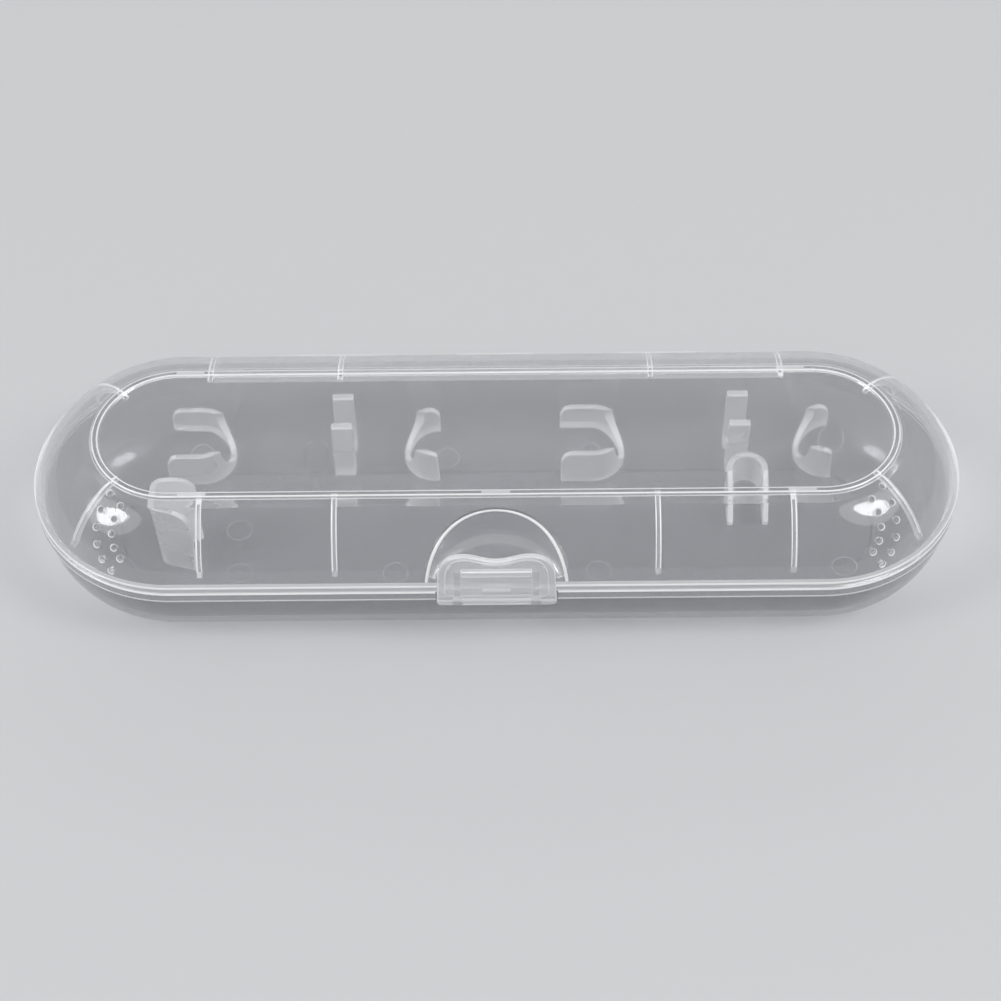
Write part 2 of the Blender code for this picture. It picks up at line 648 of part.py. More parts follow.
def build_handle_neck_cradle(case, space):
    """A U-shaped wall open to the front, whose arms slope down to the floor."""
    middle = LENGTH / 2 - NECK_CRADLE_INSET
    back = BAY_Y - NECK_CRADLE_FROM_BAY
    foot, top = [], []
    for along, across in cradle_line(NECK_CRADLE_WIDTH, NECK_CRADLE_LENGTH):
        share = min(1, (along + NECK_CRADLE_LENGTH) / (NECK_CRADLE_LENGTH - NECK_CRADLE_WIDTH / 2))
        height = NECK_CRADLE_TOE + (NECK_CRADLE_HEIGHT - NECK_CRADLE_TOE) * math.sin(share * math.pi / 2)
        foot.append((middle + across, back + along, 0))
        top.append((middle + across, back + along, FLOOR_Z + height))
    return standing_wall("handle_neck_cradle", foot, top, case, space)


def end_cradle_half(side, length, flare, tip_height, fullness):
    """Foot and top lines of the end cradle, from the middle of its web round the bend to the tip of one wing."""
    reach = math.hypot(length, flare)
    places = [(0, 0, 0)]
    for step in range(BEND_STEPS + 1):
        share = step / BEND_STEPS
        places.append((length / reach * END_BEND * share ** 2,
                       END_WEB_HALF - END_BEND * (1 - share) ** 2 + flare / reach * END_BEND * share ** 2, 0))
    for step in range(1, WING_STEPS + 1):
        out = END_BEND / reach + (1 - END_BEND / reach) * math.sin(math.pi / 2 * step / WING_STEPS)
        places.append((length * out, END_WEB_HALF + flare * out, min(out, 1)))
    foot, top = [], []
    for forward, across, out in places:
        x = -LENGTH / 2 + END_CRADLE_INSET + forward
        y = side * across - END_CRADLE_FORWARD
        lean = BACK_WING_LEAN * (1 + side * min(across / END_WEB_HALF, 1)) / 2
        fall = (1 - out ** fullness) ** (1 / fullness)
        foot.append((x + END_WEB_LEAN * (1 - forward / length), y - lean, 0))
        top.append((x, y, FLOOR_Z + tip_height + (END_CRADLE_HEIGHT - tip_height) * fall))
    return foot, top


def build_handle_end_cradle(case, space):
    """A wall round the butt of the handle: a web across its end and a flared wing along each side.

    The wings' tops round down to their tips. The web leans out, and the back wing's foot comes forward under it.
    """
    front = end_cradle_half(-1, FRONT_WING_LENGTH, FRONT_WING_FLARE, FRONT_TIP_HEIGHT, FRONT_WING_FULLNESS)
    back = end_cradle_half(1, BACK_WING_LENGTH, BACK_WING_FLARE, BACK_TIP_HEIGHT, BACK_WING_FULLNESS)
    foot, top = (near[:0:-1] + far for near, far in zip(front, back))
    return standing_wall("handle_end_cradle", foot, top, case, space)


def build_holders(case, cutters):
    space = holder_space(cutters)
    holders = []
    bays = {"left": -LENGTH / 2 + LEFT_BAY_INSET, "right": LENGTH / 2 - RIGHT_BAY_INSET - BAY_SPACING}
    for bay, x in bays.items():
        holders.append(build_brush_cradle(f"long_brush_cradle_{bay}", x, -1, LONG_CRADLE_WIDTH,
                                          LONG_CRADLE_LENGTH, case, cutters, space))
        holders.append(build_brush_cradle(f"short_brush_cradle_{bay}", x + BAY_SPACING, 1, SHORT_CRADLE_WIDTH,
                                          SHORT_CRADLE_LENGTH, case, cutters, space))
        post_x = x + POST_FROM_LONG_CRADLE + POST_LENGTH / 2
        holders.append(build_neck_post(f"neck_post_{bay}_front", post_x, -1, case, space))
        holders.append(build_neck_post(f"neck_post_{bay}_back", post_x, 1, case, space))
    holders.append(build_handle_neck_cradle(case, space))
    holders.append(build_handle_end_cradle(case, space))
    return holders


def hang_on_axis(name, point, piece, case):
    """Put a moving piece, with the tools that shape it, under an empty on its joint's axis."""
    pivot = bpy.data.objects.new(name, None)
    pivot.location = point
    case.objects.link(pivot)
    shapes = [piece]
    for shape in shapes:
        shapes += [step.object for step in shape.modifiers if step.type == "BOOLEAN"]
        shape.parent = pivot
        shape.location = -Vector(point)


def main():
    for item in list(bpy.data.objects):
        bpy.data.objects.remove(item)
    case = new_collection("electric_toothbrush_case")
    cutters = new_collection("cutters")
    base = build_base(case, cutters)
    lid = build_lid(case, cutters)
    latch = build_latch(case, cutters)
    pin = build_hinge_pin(case)
    hang_on_axis("lid_axis", (0, HINGE_Y, PARTING_Z), lid, case)
    hang_on_axis("latch_axis", (0, PIVOT_Y, PIVOT_Z), latch, case)
    base.data.materials.append(plastic("clear base plastic", (0.86, 0.87, 0.88), 0.12, 0.9))
    lid.data.materials.append(plastic("clear lid plastic", (0.88, 0.89, 0.90), 0.10, 0.9))
    latch.data.materials.append(plastic("clear clasp plastic", (0.86, 0.87, 0.88), 0.15, 0.8))
    pin.data.materials.append(plastic("natural pin plastic", (0.80, 0.80, 0.80), 0.35, 0.2))
    for holder in build_holders(case, cutters):
        holder.data.materials.append(plastic(f"{holder.name} frosted plastic", (0.85, 0.86, 0.87), 0.45, 0.5))


main()
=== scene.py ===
# %% [markdown]
# # A clear travel case for an electric toothbrush
#
# The real thing is four moulded pieces of clear polypropylene: a deep tray, a domed lid on a hinge, a clasp that
# hooks over the lid at the front, and the pin that the lid turns on. Inside the tray stand frosted cradles and
# posts for a handle and two brush heads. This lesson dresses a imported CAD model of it: each piece is modelled again
# with softer edges and finer curves, rides on the CAD body it belongs to, and gets a see-through plastic.

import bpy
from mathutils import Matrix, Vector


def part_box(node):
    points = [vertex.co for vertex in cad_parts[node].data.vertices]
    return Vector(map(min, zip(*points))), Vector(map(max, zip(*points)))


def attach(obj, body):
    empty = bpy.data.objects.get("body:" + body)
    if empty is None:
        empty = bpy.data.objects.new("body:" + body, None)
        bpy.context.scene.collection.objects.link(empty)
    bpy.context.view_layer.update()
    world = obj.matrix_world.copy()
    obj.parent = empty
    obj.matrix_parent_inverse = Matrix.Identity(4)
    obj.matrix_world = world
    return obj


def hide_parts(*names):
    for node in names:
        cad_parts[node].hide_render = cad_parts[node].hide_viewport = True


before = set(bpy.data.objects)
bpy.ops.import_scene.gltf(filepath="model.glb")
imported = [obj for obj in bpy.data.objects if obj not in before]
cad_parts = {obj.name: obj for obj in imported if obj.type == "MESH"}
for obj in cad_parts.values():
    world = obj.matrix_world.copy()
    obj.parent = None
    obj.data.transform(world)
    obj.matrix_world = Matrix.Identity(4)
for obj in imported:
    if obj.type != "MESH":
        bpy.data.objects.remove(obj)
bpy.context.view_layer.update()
print("nodes in the frame:", sorted(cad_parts))

# %% Modules and units
import math

import bmesh
import bpy
from mathutils import Matrix, Vector

MM = 0.001
WELD = 0.002 * MM

# %% [markdown]
# ## The sizes that everything follows
#
# The case is a stadium seen from above: a half turn at each end with straight runs between them. All shells are one
# profile of (radius, height) points carried round that plan, so a radius is a distance from the line that joins the
# two end centres. The lid and the tray meet at the parting height, with a hairline gap.

# %% Main sizes
RIM = 34 * MM
ARC_X = 73.5 * MM
HEIGHT = 38 * MM
PARTING = 22 * MM
WALL = 1.5 * MM
GAP = 0.3 * MM
WALL_OUT = 33.2 * MM
WALL_IN = WALL_OUT - WALL
FLOOR = 2.0 * MM
CROWN = 37.5 * MM
TRAY_TOP = PARTING - GAP / 2
LID_FOOT = PARTING + GAP / 2
TRAY_FLANGE = 19.0 * MM
LID_FLANGE = 24.1 * MM
RING = 18 * MM
BEAD_IN = 16.9 * MM
BEAD_OUT = 19.1 * MM
for name in ("base_shell", "lid_shell", "latch_clasp"):
    low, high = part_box(name)
    print(name, "from", [round(c / MM, 1) for c in low], "to", [round(c / MM, 1) for c in high], "mm")

# %% [markdown]
# ## Small helpers
#
# Every finished piece is an object at the origin with its place in its mesh, as the CAD nodes are. Cuts and joins
# use the Boolean modifier, applied at once, because the result is then an ordinary mesh that later steps can see.


# %% Make an object, and cut or join it with another
def as_object(name, mesh):
    """Turn a bmesh into an object, with its faces turned the same way."""
    bmesh.ops.recalc_face_normals(mesh, faces=mesh.faces)
    data = bpy.data.meshes.new(name)
    mesh.to_mesh(data)
    mesh.free()
    item = bpy.data.objects.new(name, data)
    bpy.context.scene.collection.objects.link(item)
    return item


def apply_modifiers(item):
    bpy.context.view_layer.update()
    seen = item.evaluated_get(bpy.context.evaluated_depsgraph_get())
    made, old = bpy.data.meshes.new_from_object(seen), item.data
    item.modifiers.clear()
    item.data = made
    bpy.data.meshes.remove(old)


def volume_of(item):
    measured = bmesh.new()
    measured.from_mesh(item.data)
    volume = measured.calc_volume()
    measured.free()
    return volume / MM ** 3


def combine(item, operation, mesh):
    """Join, cut or trim an object with a bmesh, and leave nothing behind."""
    tool = as_object("tool", mesh)
    step = item.modifiers.new("combine", "BOOLEAN")
    step.operation, step.object, step.solver = operation, tool, "EXACT"
    apply_modifiers(item)
    bpy.data.meshes.remove(tool.data)
    print(f"{item.name} {operation.lower()}: {volume_of(item):.0f} cubic mm")


# %% Mark the edges of a piece
def from_axis(point):
    """Distance, seen from above, from the line that joins the two end centres."""
    return math.hypot(max(abs(point.x) - ARC_X, 0), point.y)


def mark_edges(item, pale_density_and_highlight):
    """Write an edge value from 0 to 1 on each face. The plastics read it and turn denser and paler there: partly the
    milky density of rims and rounded edges, partly painted highlight.
    """
    marks = item.data.attributes.new("edge", "FLOAT", "FACE")
    for face in item.data.polygons:
        marks.data[face.index].value = pale_density_and_highlight(face)
    print(item.name, "has", sum(mark.value > 0.5 for mark in marks.data), "pale edge faces")


# %% Finish a piece: shading, material, the body it rides on and the nodes it stands for
CREASE = math.radians(32)


def finish(item, material, body, nodes, pale_density_and_highlight):
    mark_edges(item, pale_density_and_highlight)
    item.data.shade_smooth()
    item.data.set_sharp_from_angle(angle=CREASE)
    even = item.modifiers.new("even shading", "WEIGHTED_NORMAL")
    even.keep_sharp = True
    item.data.materials.clear()
    item.data.materials.append(material)
    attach(item, body)
    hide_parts(*nodes)
    print(item.name, "has", len(item.data.vertices), "vertices")


# %% Blocks, rods and flat shapes with soft edges
SIDE_VIEW = Matrix(((0, 0, 1, 0), (1, 0, 0, 0), (0, 1, 0, 0), (0, 0, 0, 1)))
FRONT_VIEW = Matrix(((1, 0, 0, 0), (0, 0, 1, 0), (0, 1, 0, 0), (0, 0, 0, 1)))


def soften(mesh, edges, width, segments=3):
    bmesh.ops.bevel(mesh, geom=edges, offset=width, segments=segments, profile=0.5, affect="EDGES",
                    clamp_overlap=True, material=-1)


def add_block(mesh, low, high, soft=0.0):
    low, high = Vector(low), Vector(high)
    place = Matrix.Translation((low + high) / 2) @ Matrix.Diagonal((*(high - low), 1))
    corners = bmesh.ops.create_cube(mesh, size=1, matrix=place)["verts"]
    if soft:
        soften(mesh, list({edge for corner in corners for edge in corner.link_edges}), soft)


def add_rod(mesh, start, end, radius, segments=32, soft=0.0):
    line = Vector(end) - Vector(start)
    place = Matrix.Translation((Vector(start) + Vector(end)) / 2) @ line.to_track_quat("Z", "Y").to_matrix().to_4x4()
    corners = bmesh.ops.create_cone(mesh, cap_ends=True, segments=segments, radius1=radius, radius2=radius,
                                    depth=line.length, matrix=place)["verts"]
    if soft:
        rims = {edge for corner in corners for edge in corner.link_edges if edge.calc_face_angle(0) > 1}
        soften(mesh, list(rims), soft)


def add_slab(mesh, outline, thickness, place, soft=0.0, segments=2):
    """A flat outline of (u, v) points, given a thickness and put in its place."""
    face = mesh.faces.new([mesh.verts.new(place @ Vector((u, v, -thickness / 2))) for u, v in outline])
    grown = bmesh.ops.extrude_face_region(mesh, geom=[face])["geom"]
    shift = place.to_3x3() @ Vector((0, 0, thickness))
    moved = [part for part in grown if isinstance(part, bmesh.types.BMVert)]
    bmesh.ops.translate(mesh, verts=moved, vec=shift)
    if soft:
        ends = {face} | {part for part in grown if isinstance(part, bmesh.types.BMFace)}
        ring = {edge for end in ends if len(end.verts) == len(outline) for edge in end.edges}
        soften(mesh, list(ring), soft, segments)


# %% [markdown]
# ## Carrying a profile round the case
#
# A lathe makes round things. This case isn't round, but each end is half of a lathed shape, so the profile is spun
# a half turn, extruded straight to the other end, spun again and extruded back. Corners that the mould has rounded
# are bevelled on the profile itself, before it is spun, which costs nothing and keeps each edge even all round.


# %% Fair curves and the sweep
def quarter(start, end, fullness, steps=36):
    """A quarter curve that leaves start level and meets end upright. Fullness 2 is a plain ellipse."""
    points = []
    for step in range(steps + 1):
        turn = math.pi / 2 * step / steps
        along, across = math.sin(turn) ** (2 / fullness), max(math.cos(turn), 0) ** (2 / fullness)
        points.append((start[0] + (end[0] - start[0]) * along, end[1] + (start[1] - end[1]) * across))
    return points


def inset(curve, depth, upward):
    """The curve moved square to itself: upward is 1 towards the tray's inside and -1 towards the lid's."""
    moved = []
    for index, (radius, height) in enumerate(curve):
        before, after = curve[max(index - 1, 0)], curve[min(index + 1, len(curve) - 1)]
        run, rise = after[0] - before[0], after[1] - before[1]
        length = math.hypot(run, rise)
        moved.append((radius - upward * rise / length * depth, height + upward * run / length * depth))
    return moved


def radius_at(curve, height):
    for (inner, start), (outer, end) in zip(curve, curve[1:]):
        if min(start, end) <= height <= max(start, end) and start != end:
            return inner + (outer - inner) * (height - start) / (end - start)
    return curve[-1][0]


def swept(profile, soft=(), turn_steps=56):
    """The profile carried round the plan. soft lists (point number, radius) for the corners to round first."""
    mesh = bmesh.new()
    corners = [mesh.verts.new((ARC_X, -radius, height)) for radius, height in profile]
    for pair in zip(corners, corners[1:]):
        mesh.edges.new(pair)
    for number, radius in soft:
        bmesh.ops.bevel(mesh, geom=[corners[number]], offset=radius, segments=4, profile=0.5, affect="VERTICES",
                        clamp_overlap=True, material=-1)
    edges = list(mesh.edges)
    for side in (1, -1):
        turn = bmesh.ops.spin(mesh, geom=edges, cent=(side * ARC_X, 0, 0), axis=(0, 0, 1), angle=math.pi,
                              steps=turn_steps)
        edges = [part for part in turn["geom_last"] if isinstance(part, bmesh.types.BMEdge)]
        run = bmesh.ops.extrude_edge_only(mesh, edges=edges)["geom"]
        moved = {part for part in run if isinstance(part, bmesh.types.BMVert)}
        bmesh.ops.translate(mesh, verts=list(moved), vec=(-side * 2 * ARC_X, 0, 0))
        edges = [part for part in run if isinstance(part, bmesh.types.BMEdge) and set(part.verts) <= moved]
    bmesh.ops.remove_doubles(mesh, verts=mesh.verts, dist=WELD)
    bmesh.ops.holes_fill(mesh, edges=mesh.edges, sides=0)
    return mesh


# %% [markdown]
# ## Plastics
#
# Clear polypropylene isn't glass: it is a little milky, and it looks denser where light has a longer way through it, at
# the turning-away side of a wall and along thick rims. The shader is one Principled node. Its transmission falls where
# the surface turns away and where a face carries an edge value. The edge value also mixes in a near-white colour: along
# rounded edges, rims, vent mouths and the scoop's rim that is partly the milky density and partly painted highlight,
# the bright lines that such edges catch from the lamps. Lamps reach the inside through a Transparent node that only
# shadow
# rays see: without it a clear case is dark inside.


# %% One recipe for all five plastics
def plastic(name, colour, roughness, clear, edge_clear, waves, shade):
    """A moulded plastic. clear is its transmission face on and turned away, shade what a lamp loses at a surface."""
    material = bpy.data.materials.new(name)
    material.use_nodes = True
    tree = material.node_tree
    nodes, links = tree.nodes, tree.links
    shader, output = nodes["Principled BSDF"], nodes["Material Output"]
    shader.inputs["IOR"].default_value = 1.49
    place = nodes.new("ShaderNodeTexCoord")

    def noise(scale, detail, stretch=(1, 1, 1)):
        fit = nodes.new("ShaderNodeMapping")
        fit.inputs["Scale"].default_value = stretch
        grain = nodes.new("ShaderNodeTexNoise")
        grain.inputs["Scale"].default_value = scale
        grain.inputs["Detail"].default_value = detail
        links.new(place.outputs["Object"], fit.inputs["Vector"])
        links.new(fit.outputs["Vector"], grain.inputs["Vector"])
        return grain.outputs["Fac"]

    def spread(source, low, high, start=0.0, end=1.0):
        remap = nodes.new("ShaderNodeMapRange")
        for socket, value in (("From Min", start), ("From Max", end), ("To Min", low), ("To Max", high)):
            remap.inputs[socket].default_value = value
        links.new(source, remap.inputs["Value"])
        return remap.outputs["Result"]

    def blend(kind, share, first, second):
        mix = nodes.new("ShaderNodeMix")
        mix.data_type = kind
        sockets = [socket for socket in mix.inputs if socket.type == ("RGBA" if kind == "RGBA" else "VALUE")]
        links.new(share, mix.inputs["Factor"])
        for socket, value in zip(sockets[-2:], (first, second)):
            if isinstance(value, bpy.types.NodeSocket):
                links.new(value, socket)
            else:
                socket.default_value = value
        return next(socket for socket in mix.outputs if socket.type == sockets[-1].type)

    # An edge value makes a face denser and near-white: partly the milky plastic's density, partly painted highlight.
    edge = nodes.new("ShaderNodeAttribute")
    edge.attribute_name = "edge"
    clouds = spread(noise(22, 3), 0, 1, 0.35, 0.7)
    body = blend("RGBA", clouds, (*colour, 1), (*[channel * 0.975 for channel in colour], 1))
    links.new(blend("RGBA", edge.outputs["Fac"], body, EDGE_HIGHLIGHT_COLOUR), shader.inputs["Base Color"])

    turning = nodes.new("ShaderNodeLayerWeight")
    turning.inputs["Blend"].default_value = 0.3
    through = spread(turning.outputs["Facing"], *clear)
    links.new(blend("FLOAT", edge.outputs["Fac"], through, edge_clear), shader.inputs["Transmission Weight"])

    wiped = noise(40, 2, (0.35, 1.5, 1.5))
    links.new(spread(wiped, roughness * 0.8, roughness * 1.5, 0.4, 0.7), shader.inputs["Roughness"])
    flow = nodes.new("ShaderNodeBump")
    flow.inputs["Strength"].default_value = waves
    flow.inputs["Distance"].default_value = 0.0004
    links.new(noise(30, 1.5, (0.6, 1, 1.4)), flow.inputs["Height"])
    links.new(flow.outputs["Normal"], shader.inputs["Normal"])

    path, open_way, choose = (nodes.new(kind) for kind in ("ShaderNodeLightPath", "ShaderNodeBsdfTransparent",
                                                           "ShaderNodeMixShader"))
    open_way.inputs["Color"].default_value = (*shade, 1)
    links.new(path.outputs["Is Shadow Ray"], choose.inputs["Fac"])
    links.new(shader.outputs["BSDF"], choose.inputs[1])
    links.new(open_way.outputs["BSDF"], choose.inputs[2])
    links.new(choose.outputs["Shader"], output.inputs["Surface"])
    return material


# %% The five finishes
# Near-white for faces with an edge value: painted highlight along edges and rims, partly the milky density.
EDGE_HIGHLIGHT_COLOUR = (0.94, 0.945, 0.955, 1)
# The tray gets a greyer colour and lets lamps through less than the lid, though both are the same clear plastic:
# painted shade on the tray and on all seen through it.
TRAY_SHADE, LID_SHADE, FROST_SHADE = (0.83, 0.833, 0.837), (0.91, 0.912, 0.915), (0.82, 0.823, 0.827)
tray_plastic = plastic("clear tray plastic", (0.57, 0.575, 0.59), 0.05, (0.955, 0.62), 0.12, 0.03, TRAY_SHADE)
lid_plastic = plastic("clear lid plastic", (0.80, 0.805, 0.82), 0.055, (0.955, 0.66), 0.12, 0.02, LID_SHADE)
clasp_plastic = plastic("clear clasp plastic", (0.84, 0.845, 0.86), 0.05, (0.86, 0.55), 0.12, 0.02, LID_SHADE)
pin_plastic = plastic("natural pin plastic", (0.86, 0.86, 0.85), 0.30, (0.40, 0.20), 0.10, 0.03, FROST_SHADE)
holder_plastic = plastic("frosted holder plastic", (0.90, 0.903, 0.91), 0.30, (0.72, 0.30), 0.10, 0.03, FROST_SHADE)
print("finishes:", [m.name for m in bpy.data.materials if "plastic" in m.name])

# %% [markdown]
# ## The hinge
#
# Seven barrels along the back take turns: four belong to the tray and three to the lid. Each grows from a web on its
# own flange, and the other half's flange is cut away around it so that the lid can swing.

# %% Hinge cells and their shapes
HINGE_Y = 35.4 * MM
HINGE_SPAN = 136.5 * MM
BARREL = 1.6 * MM
BARREL_WEB = 2.0 * MM
BARRELS = 7
PIN = 0.7 * MM


def barrel_cells(owner):
    pitch = HINGE_SPAN / BARRELS
    first = 0 if owner == "tray" else 1
    return [(index * pitch - HINGE_SPAN / 2, (index + 1) * pitch - HINGE_SPAN / 2)
            for index in range(first, BARRELS, 2)]


def add_hinge(item, owner):
    room, webs, barrels, bore = bmesh.new(), bmesh.new(), bmesh.new(), bmesh.new()
    low, high = (TRAY_TOP - BARREL_WEB, TRAY_TOP) if owner == "tray" else (LID_FOOT, LID_FOOT + BARREL_WEB)
    for start, end in barrel_cells("lid" if owner == "tray" else "tray"):
        add_rod(room, (start, HINGE_Y, PARTING), (end, HINGE_Y, PARTING), BARREL + GAP)
    for start, end in barrel_cells(owner):
        start, end = start + GAP / 2, end - GAP / 2
        add_block(webs, (start, WALL_OUT - GAP, low), (end, HINGE_Y, high))
        add_rod(barrels, (start, HINGE_Y, PARTING), (end, HINGE_Y, PARTING), BARREL, 40, 0.2 * MM)
    reach = HINGE_SPAN / 2 + GAP
    add_rod(bore, (-reach, HINGE_Y, PARTING), (reach, HINGE_Y, PARTING), PIN + GAP, 24)
    for operation, mesh in (("DIFFERENCE", room), ("UNION", webs), ("UNION", barrels), ("DIFFERENCE", bore)):
        combine(item, operation, mesh)


# %% [markdown]
# ## The tray
#
# The tray is a deep bowl with a foot ring below and a flange at its rim. Its flange is notched at the front, where two
# ears hold the rod that the clasp turns on. On its floor the mould's ejector pins have left faint round marks.

# %% The tray's profile
tray_curve = quarter((RING, 0), (WALL_OUT, TRAY_FLANGE), 2.4)
tray_inside = inset(tray_curve, WALL, 1)
tray_profile = [(BEAD_IN - 0.6 * MM, 0.5 * MM), (BEAD_IN, 0), (BEAD_OUT, 0)]
tray_profile += [point for point in tray_curve if point[0] > BEAD_OUT + 0.6 * MM]
tray_corner = len(tray_profile)
tray_profile += [(RIM, TRAY_FLANGE), (RIM, TRAY_FLANGE + 0.6 * MM), (RIM, TRAY_TOP), (WALL_IN, TRAY_TOP)]
tray_profile += [point for point in reversed(tray_inside) if point[1] > FLOOR + 0.1 * MM]
tray_profile.append((radius_at(tray_inside, FLOOR), FLOOR))
tray_soft = [(0, 0.2 * MM), (1, 0.2 * MM), (2, 0.2 * MM), (tray_corner, 0.2 * MM), (tray_corner + 2, 0.3 * MM),
             (tray_corner + 3, 0.25 * MM)]
tray = as_object("tray_body", swept(tray_profile, tray_soft))
print("tray profile of", len(tray_profile), "points")

# %% Clasp seat, ears and rod
CLASP_HALF = 13.5 * MM
PIVOT_Y, PIVOT_Z = -34.7 * MM, 20.55 * MM
ROD = 0.6 * MM
EAR_X = 8.8 * MM
EAR_WIDTH = 1.6 * MM
seat, ears, rod = bmesh.new(), bmesh.new(), bmesh.new()
add_block(seat, (-CLASP_HALF - GAP, -40 * MM, TRAY_FLANGE - GAP), (CLASP_HALF + GAP, -WALL_OUT, PARTING + GAP))
for side in (-1, 1):
    add_block(ears, (side * EAR_X - EAR_WIDTH / 2, PIVOT_Y, PIVOT_Z - 0.54 * MM),
              (side * EAR_X + EAR_WIDTH / 2, -WALL_OUT + WALL / 2, PIVOT_Z + 0.54 * MM))
add_rod(rod, (-CLASP_HALF + GAP, PIVOT_Y, PIVOT_Z), (CLASP_HALF - GAP, PIVOT_Y, PIVOT_Z), ROD, 24, 0.15 * MM)
for operation, mesh in (("DIFFERENCE", seat), ("UNION", ears), ("UNION", rod)):
    combine(tray, operation, mesh)

# %% Lines that the mould has left on the floor
def height_on(curve, radius):
    """The curve's height at a distance from the axis."""
    for (inner, start), (outer, end) in zip(curve, curve[1:]):
        if inner <= radius <= outer:
            return start + (end - start) * (radius - inner) / (outer - inner)
    return curve[-1][1]


def add_ring(mesh, middle, along, radius, points=12):
    """A round loop of edges, square to a direction."""
    square = along.to_track_quat("Z", "Y").to_matrix()
    ring = [mesh.verts.new(middle + square @ Vector((radius * math.cos(math.tau * n / points),
                                                     radius * math.sin(math.tau * n / points), 0)))
            for n in range(points)]
    return [mesh.edges.new((ring[n - 1], ring[n])) for n in range(points)]


def floor_point(x, y):
    radius = math.hypot(max(abs(x) - ARC_X, 0), y)
    flat = radius < radius_at(tray_inside, FLOOR)
    return Vector((x, y, FLOOR if flat else height_on(tray_inside, radius)))


def add_floor_line(mesh, path, thickness):
    """A closed raised line along points of the floor: rings bridged one to the next, and the last to the first."""
    spots = [floor_point(x * MM, y * MM) for x, y in path]
    rings = [add_ring(mesh, spot, spots[(n + 1) % len(spots)] - spots[n - 1], thickness, 8)
             for n, spot in enumerate(spots)]
    for n, ring in enumerate(rings):
        bmesh.ops.bridge_loops(mesh, edges=rings[n - 1] + ring)


EJECTORS = ((-61.7, -0.7), (-60.9, -14.1), (-12.2, 20.4), (-72.3, 21.7), (23.0, 21.2), (82.2, 24.0), (82.2, -13.6),
            (-24.0, -14.2), (24.0, -14.2))
marks = bmesh.new()
for x, y in EJECTORS:
    circle = [(x + 3 * math.cos(math.tau * n / 40), y + 3 * math.sin(math.tau * n / 40)) for n in range(40)]
    add_floor_line(marks, circle, 0.13 * MM)
corners = [(x, y, start) for x, y, start in ((-43.2, 23.7, 0), (-45.5, 23.7, 90), (-45.5, 16.9, 180), (-43.2, 16.9, 270))]
label = [(x + 1.5 * math.cos(math.radians(start + turn)), y + 1.5 * math.sin(math.radians(start + turn)))
         for x, y, start in corners for turn in range(0, 91, 15)]
add_floor_line(marks, label, 0.13 * MM)
combine(tray, "UNION", marks)
add_hinge(tray, "tray")

# %% The tray's pale edges and painted highlights
# Faces near these edges are drawn paler: partly the milky density of rims, partly painted highlight. The foot ring's
# faint paleness is painted light over its dark line on the table, and the floor marks are drawn pale as painted
# highlight.
TRAY_EDGES = ((RIM, TRAY_TOP, 0.35, 1.0), (RIM, TRAY_FLANGE + 0.3 * MM, 0.5, 1.0), (WALL_IN, TRAY_TOP, 0.3, 0.6),
              (BEAD_IN, 0, 0.5, 0.15), (BEAD_OUT, 0, 0.5, 0.15))


def tray_density_and_highlight(face):
    point, radius = face.center, from_axis(face.center)
    for across, height, reach, value in TRAY_EDGES:
        if math.hypot(radius - across, point.z - height) < reach * MM:
            return value
    if radius > RIM + 0.2 * MM:
        return 0.75
    if radius < 28 * MM and FLOOR < point.z and face.area < 0.12 * MM * MM:
        return 0.4
    return 0.22 if radius > RIM - 0.1 * MM else 0.0


finish(tray, tray_plastic, "base", ["base_shell"], tray_density_and_highlight)

# %% [markdown]
# ## The lid
#
# The lid is a shallower dome with a raised ring round its flat top. Ribs under the dome stiffen it, a rib along the
# back slips inside the tray to line the halves up, and small vent holes at both ends let wet brushes dry. At the
# front a scoop makes room for a fingertip behind the clasp.

# %% The lid's profile
lid_curve = quarter((RING, CROWN), (WALL_OUT, PARTING), 1.68)
lid_inside = inset(lid_curve, WALL, -1)
CEILING = CROWN - WALL - 0.4 * MM
lid_profile = [(BEAD_IN, CROWN), (BEAD_IN + 0.5 * MM, HEIGHT - 0.05 * MM), (BEAD_OUT - 0.5 * MM, HEIGHT - 0.05 * MM),
               (BEAD_OUT, CROWN - 0.12 * MM)]
lid_profile += [point for point in lid_curve if point[0] > BEAD_OUT + 0.5 * MM and point[1] > LID_FLANGE + 0.3 * MM]
lid_corner = len(lid_profile)
lid_profile += [(radius_at(lid_curve, LID_FLANGE), LID_FLANGE), (RIM, LID_FLANGE), (RIM, LID_FOOT + 0.5 * MM),
                (RIM, LID_FOOT)]
lid_profile.append((radius_at(lid_inside, LID_FOOT), LID_FOOT))
lid_profile += [point for point in reversed(lid_inside) if LID_FOOT + 0.5 * MM < point[1] < CEILING - 0.1 * MM]
lid_profile.append((radius_at(lid_inside, CEILING), CEILING))
lid_soft = [(0, 0.15 * MM), (1, 0.2 * MM), (2, 0.2 * MM), (3, 0.15 * MM), (lid_corner + 1, 0.3 * MM),
            (lid_corner + 3, 0.2 * MM)]
lid = as_object("lid_body", swept(lid_profile, lid_soft))
print("lid profile of", len(lid_profile), "points")

# %% The thumb scoop
SCOOP_RADIUS = 16.9 * MM
SCOOP_Y = -39 * MM
SCOOP_SHELF = 4.4 * MM
SCOOP_LIP = 2.4 * MM
SCOOP_FILLET = 2.6 * MM


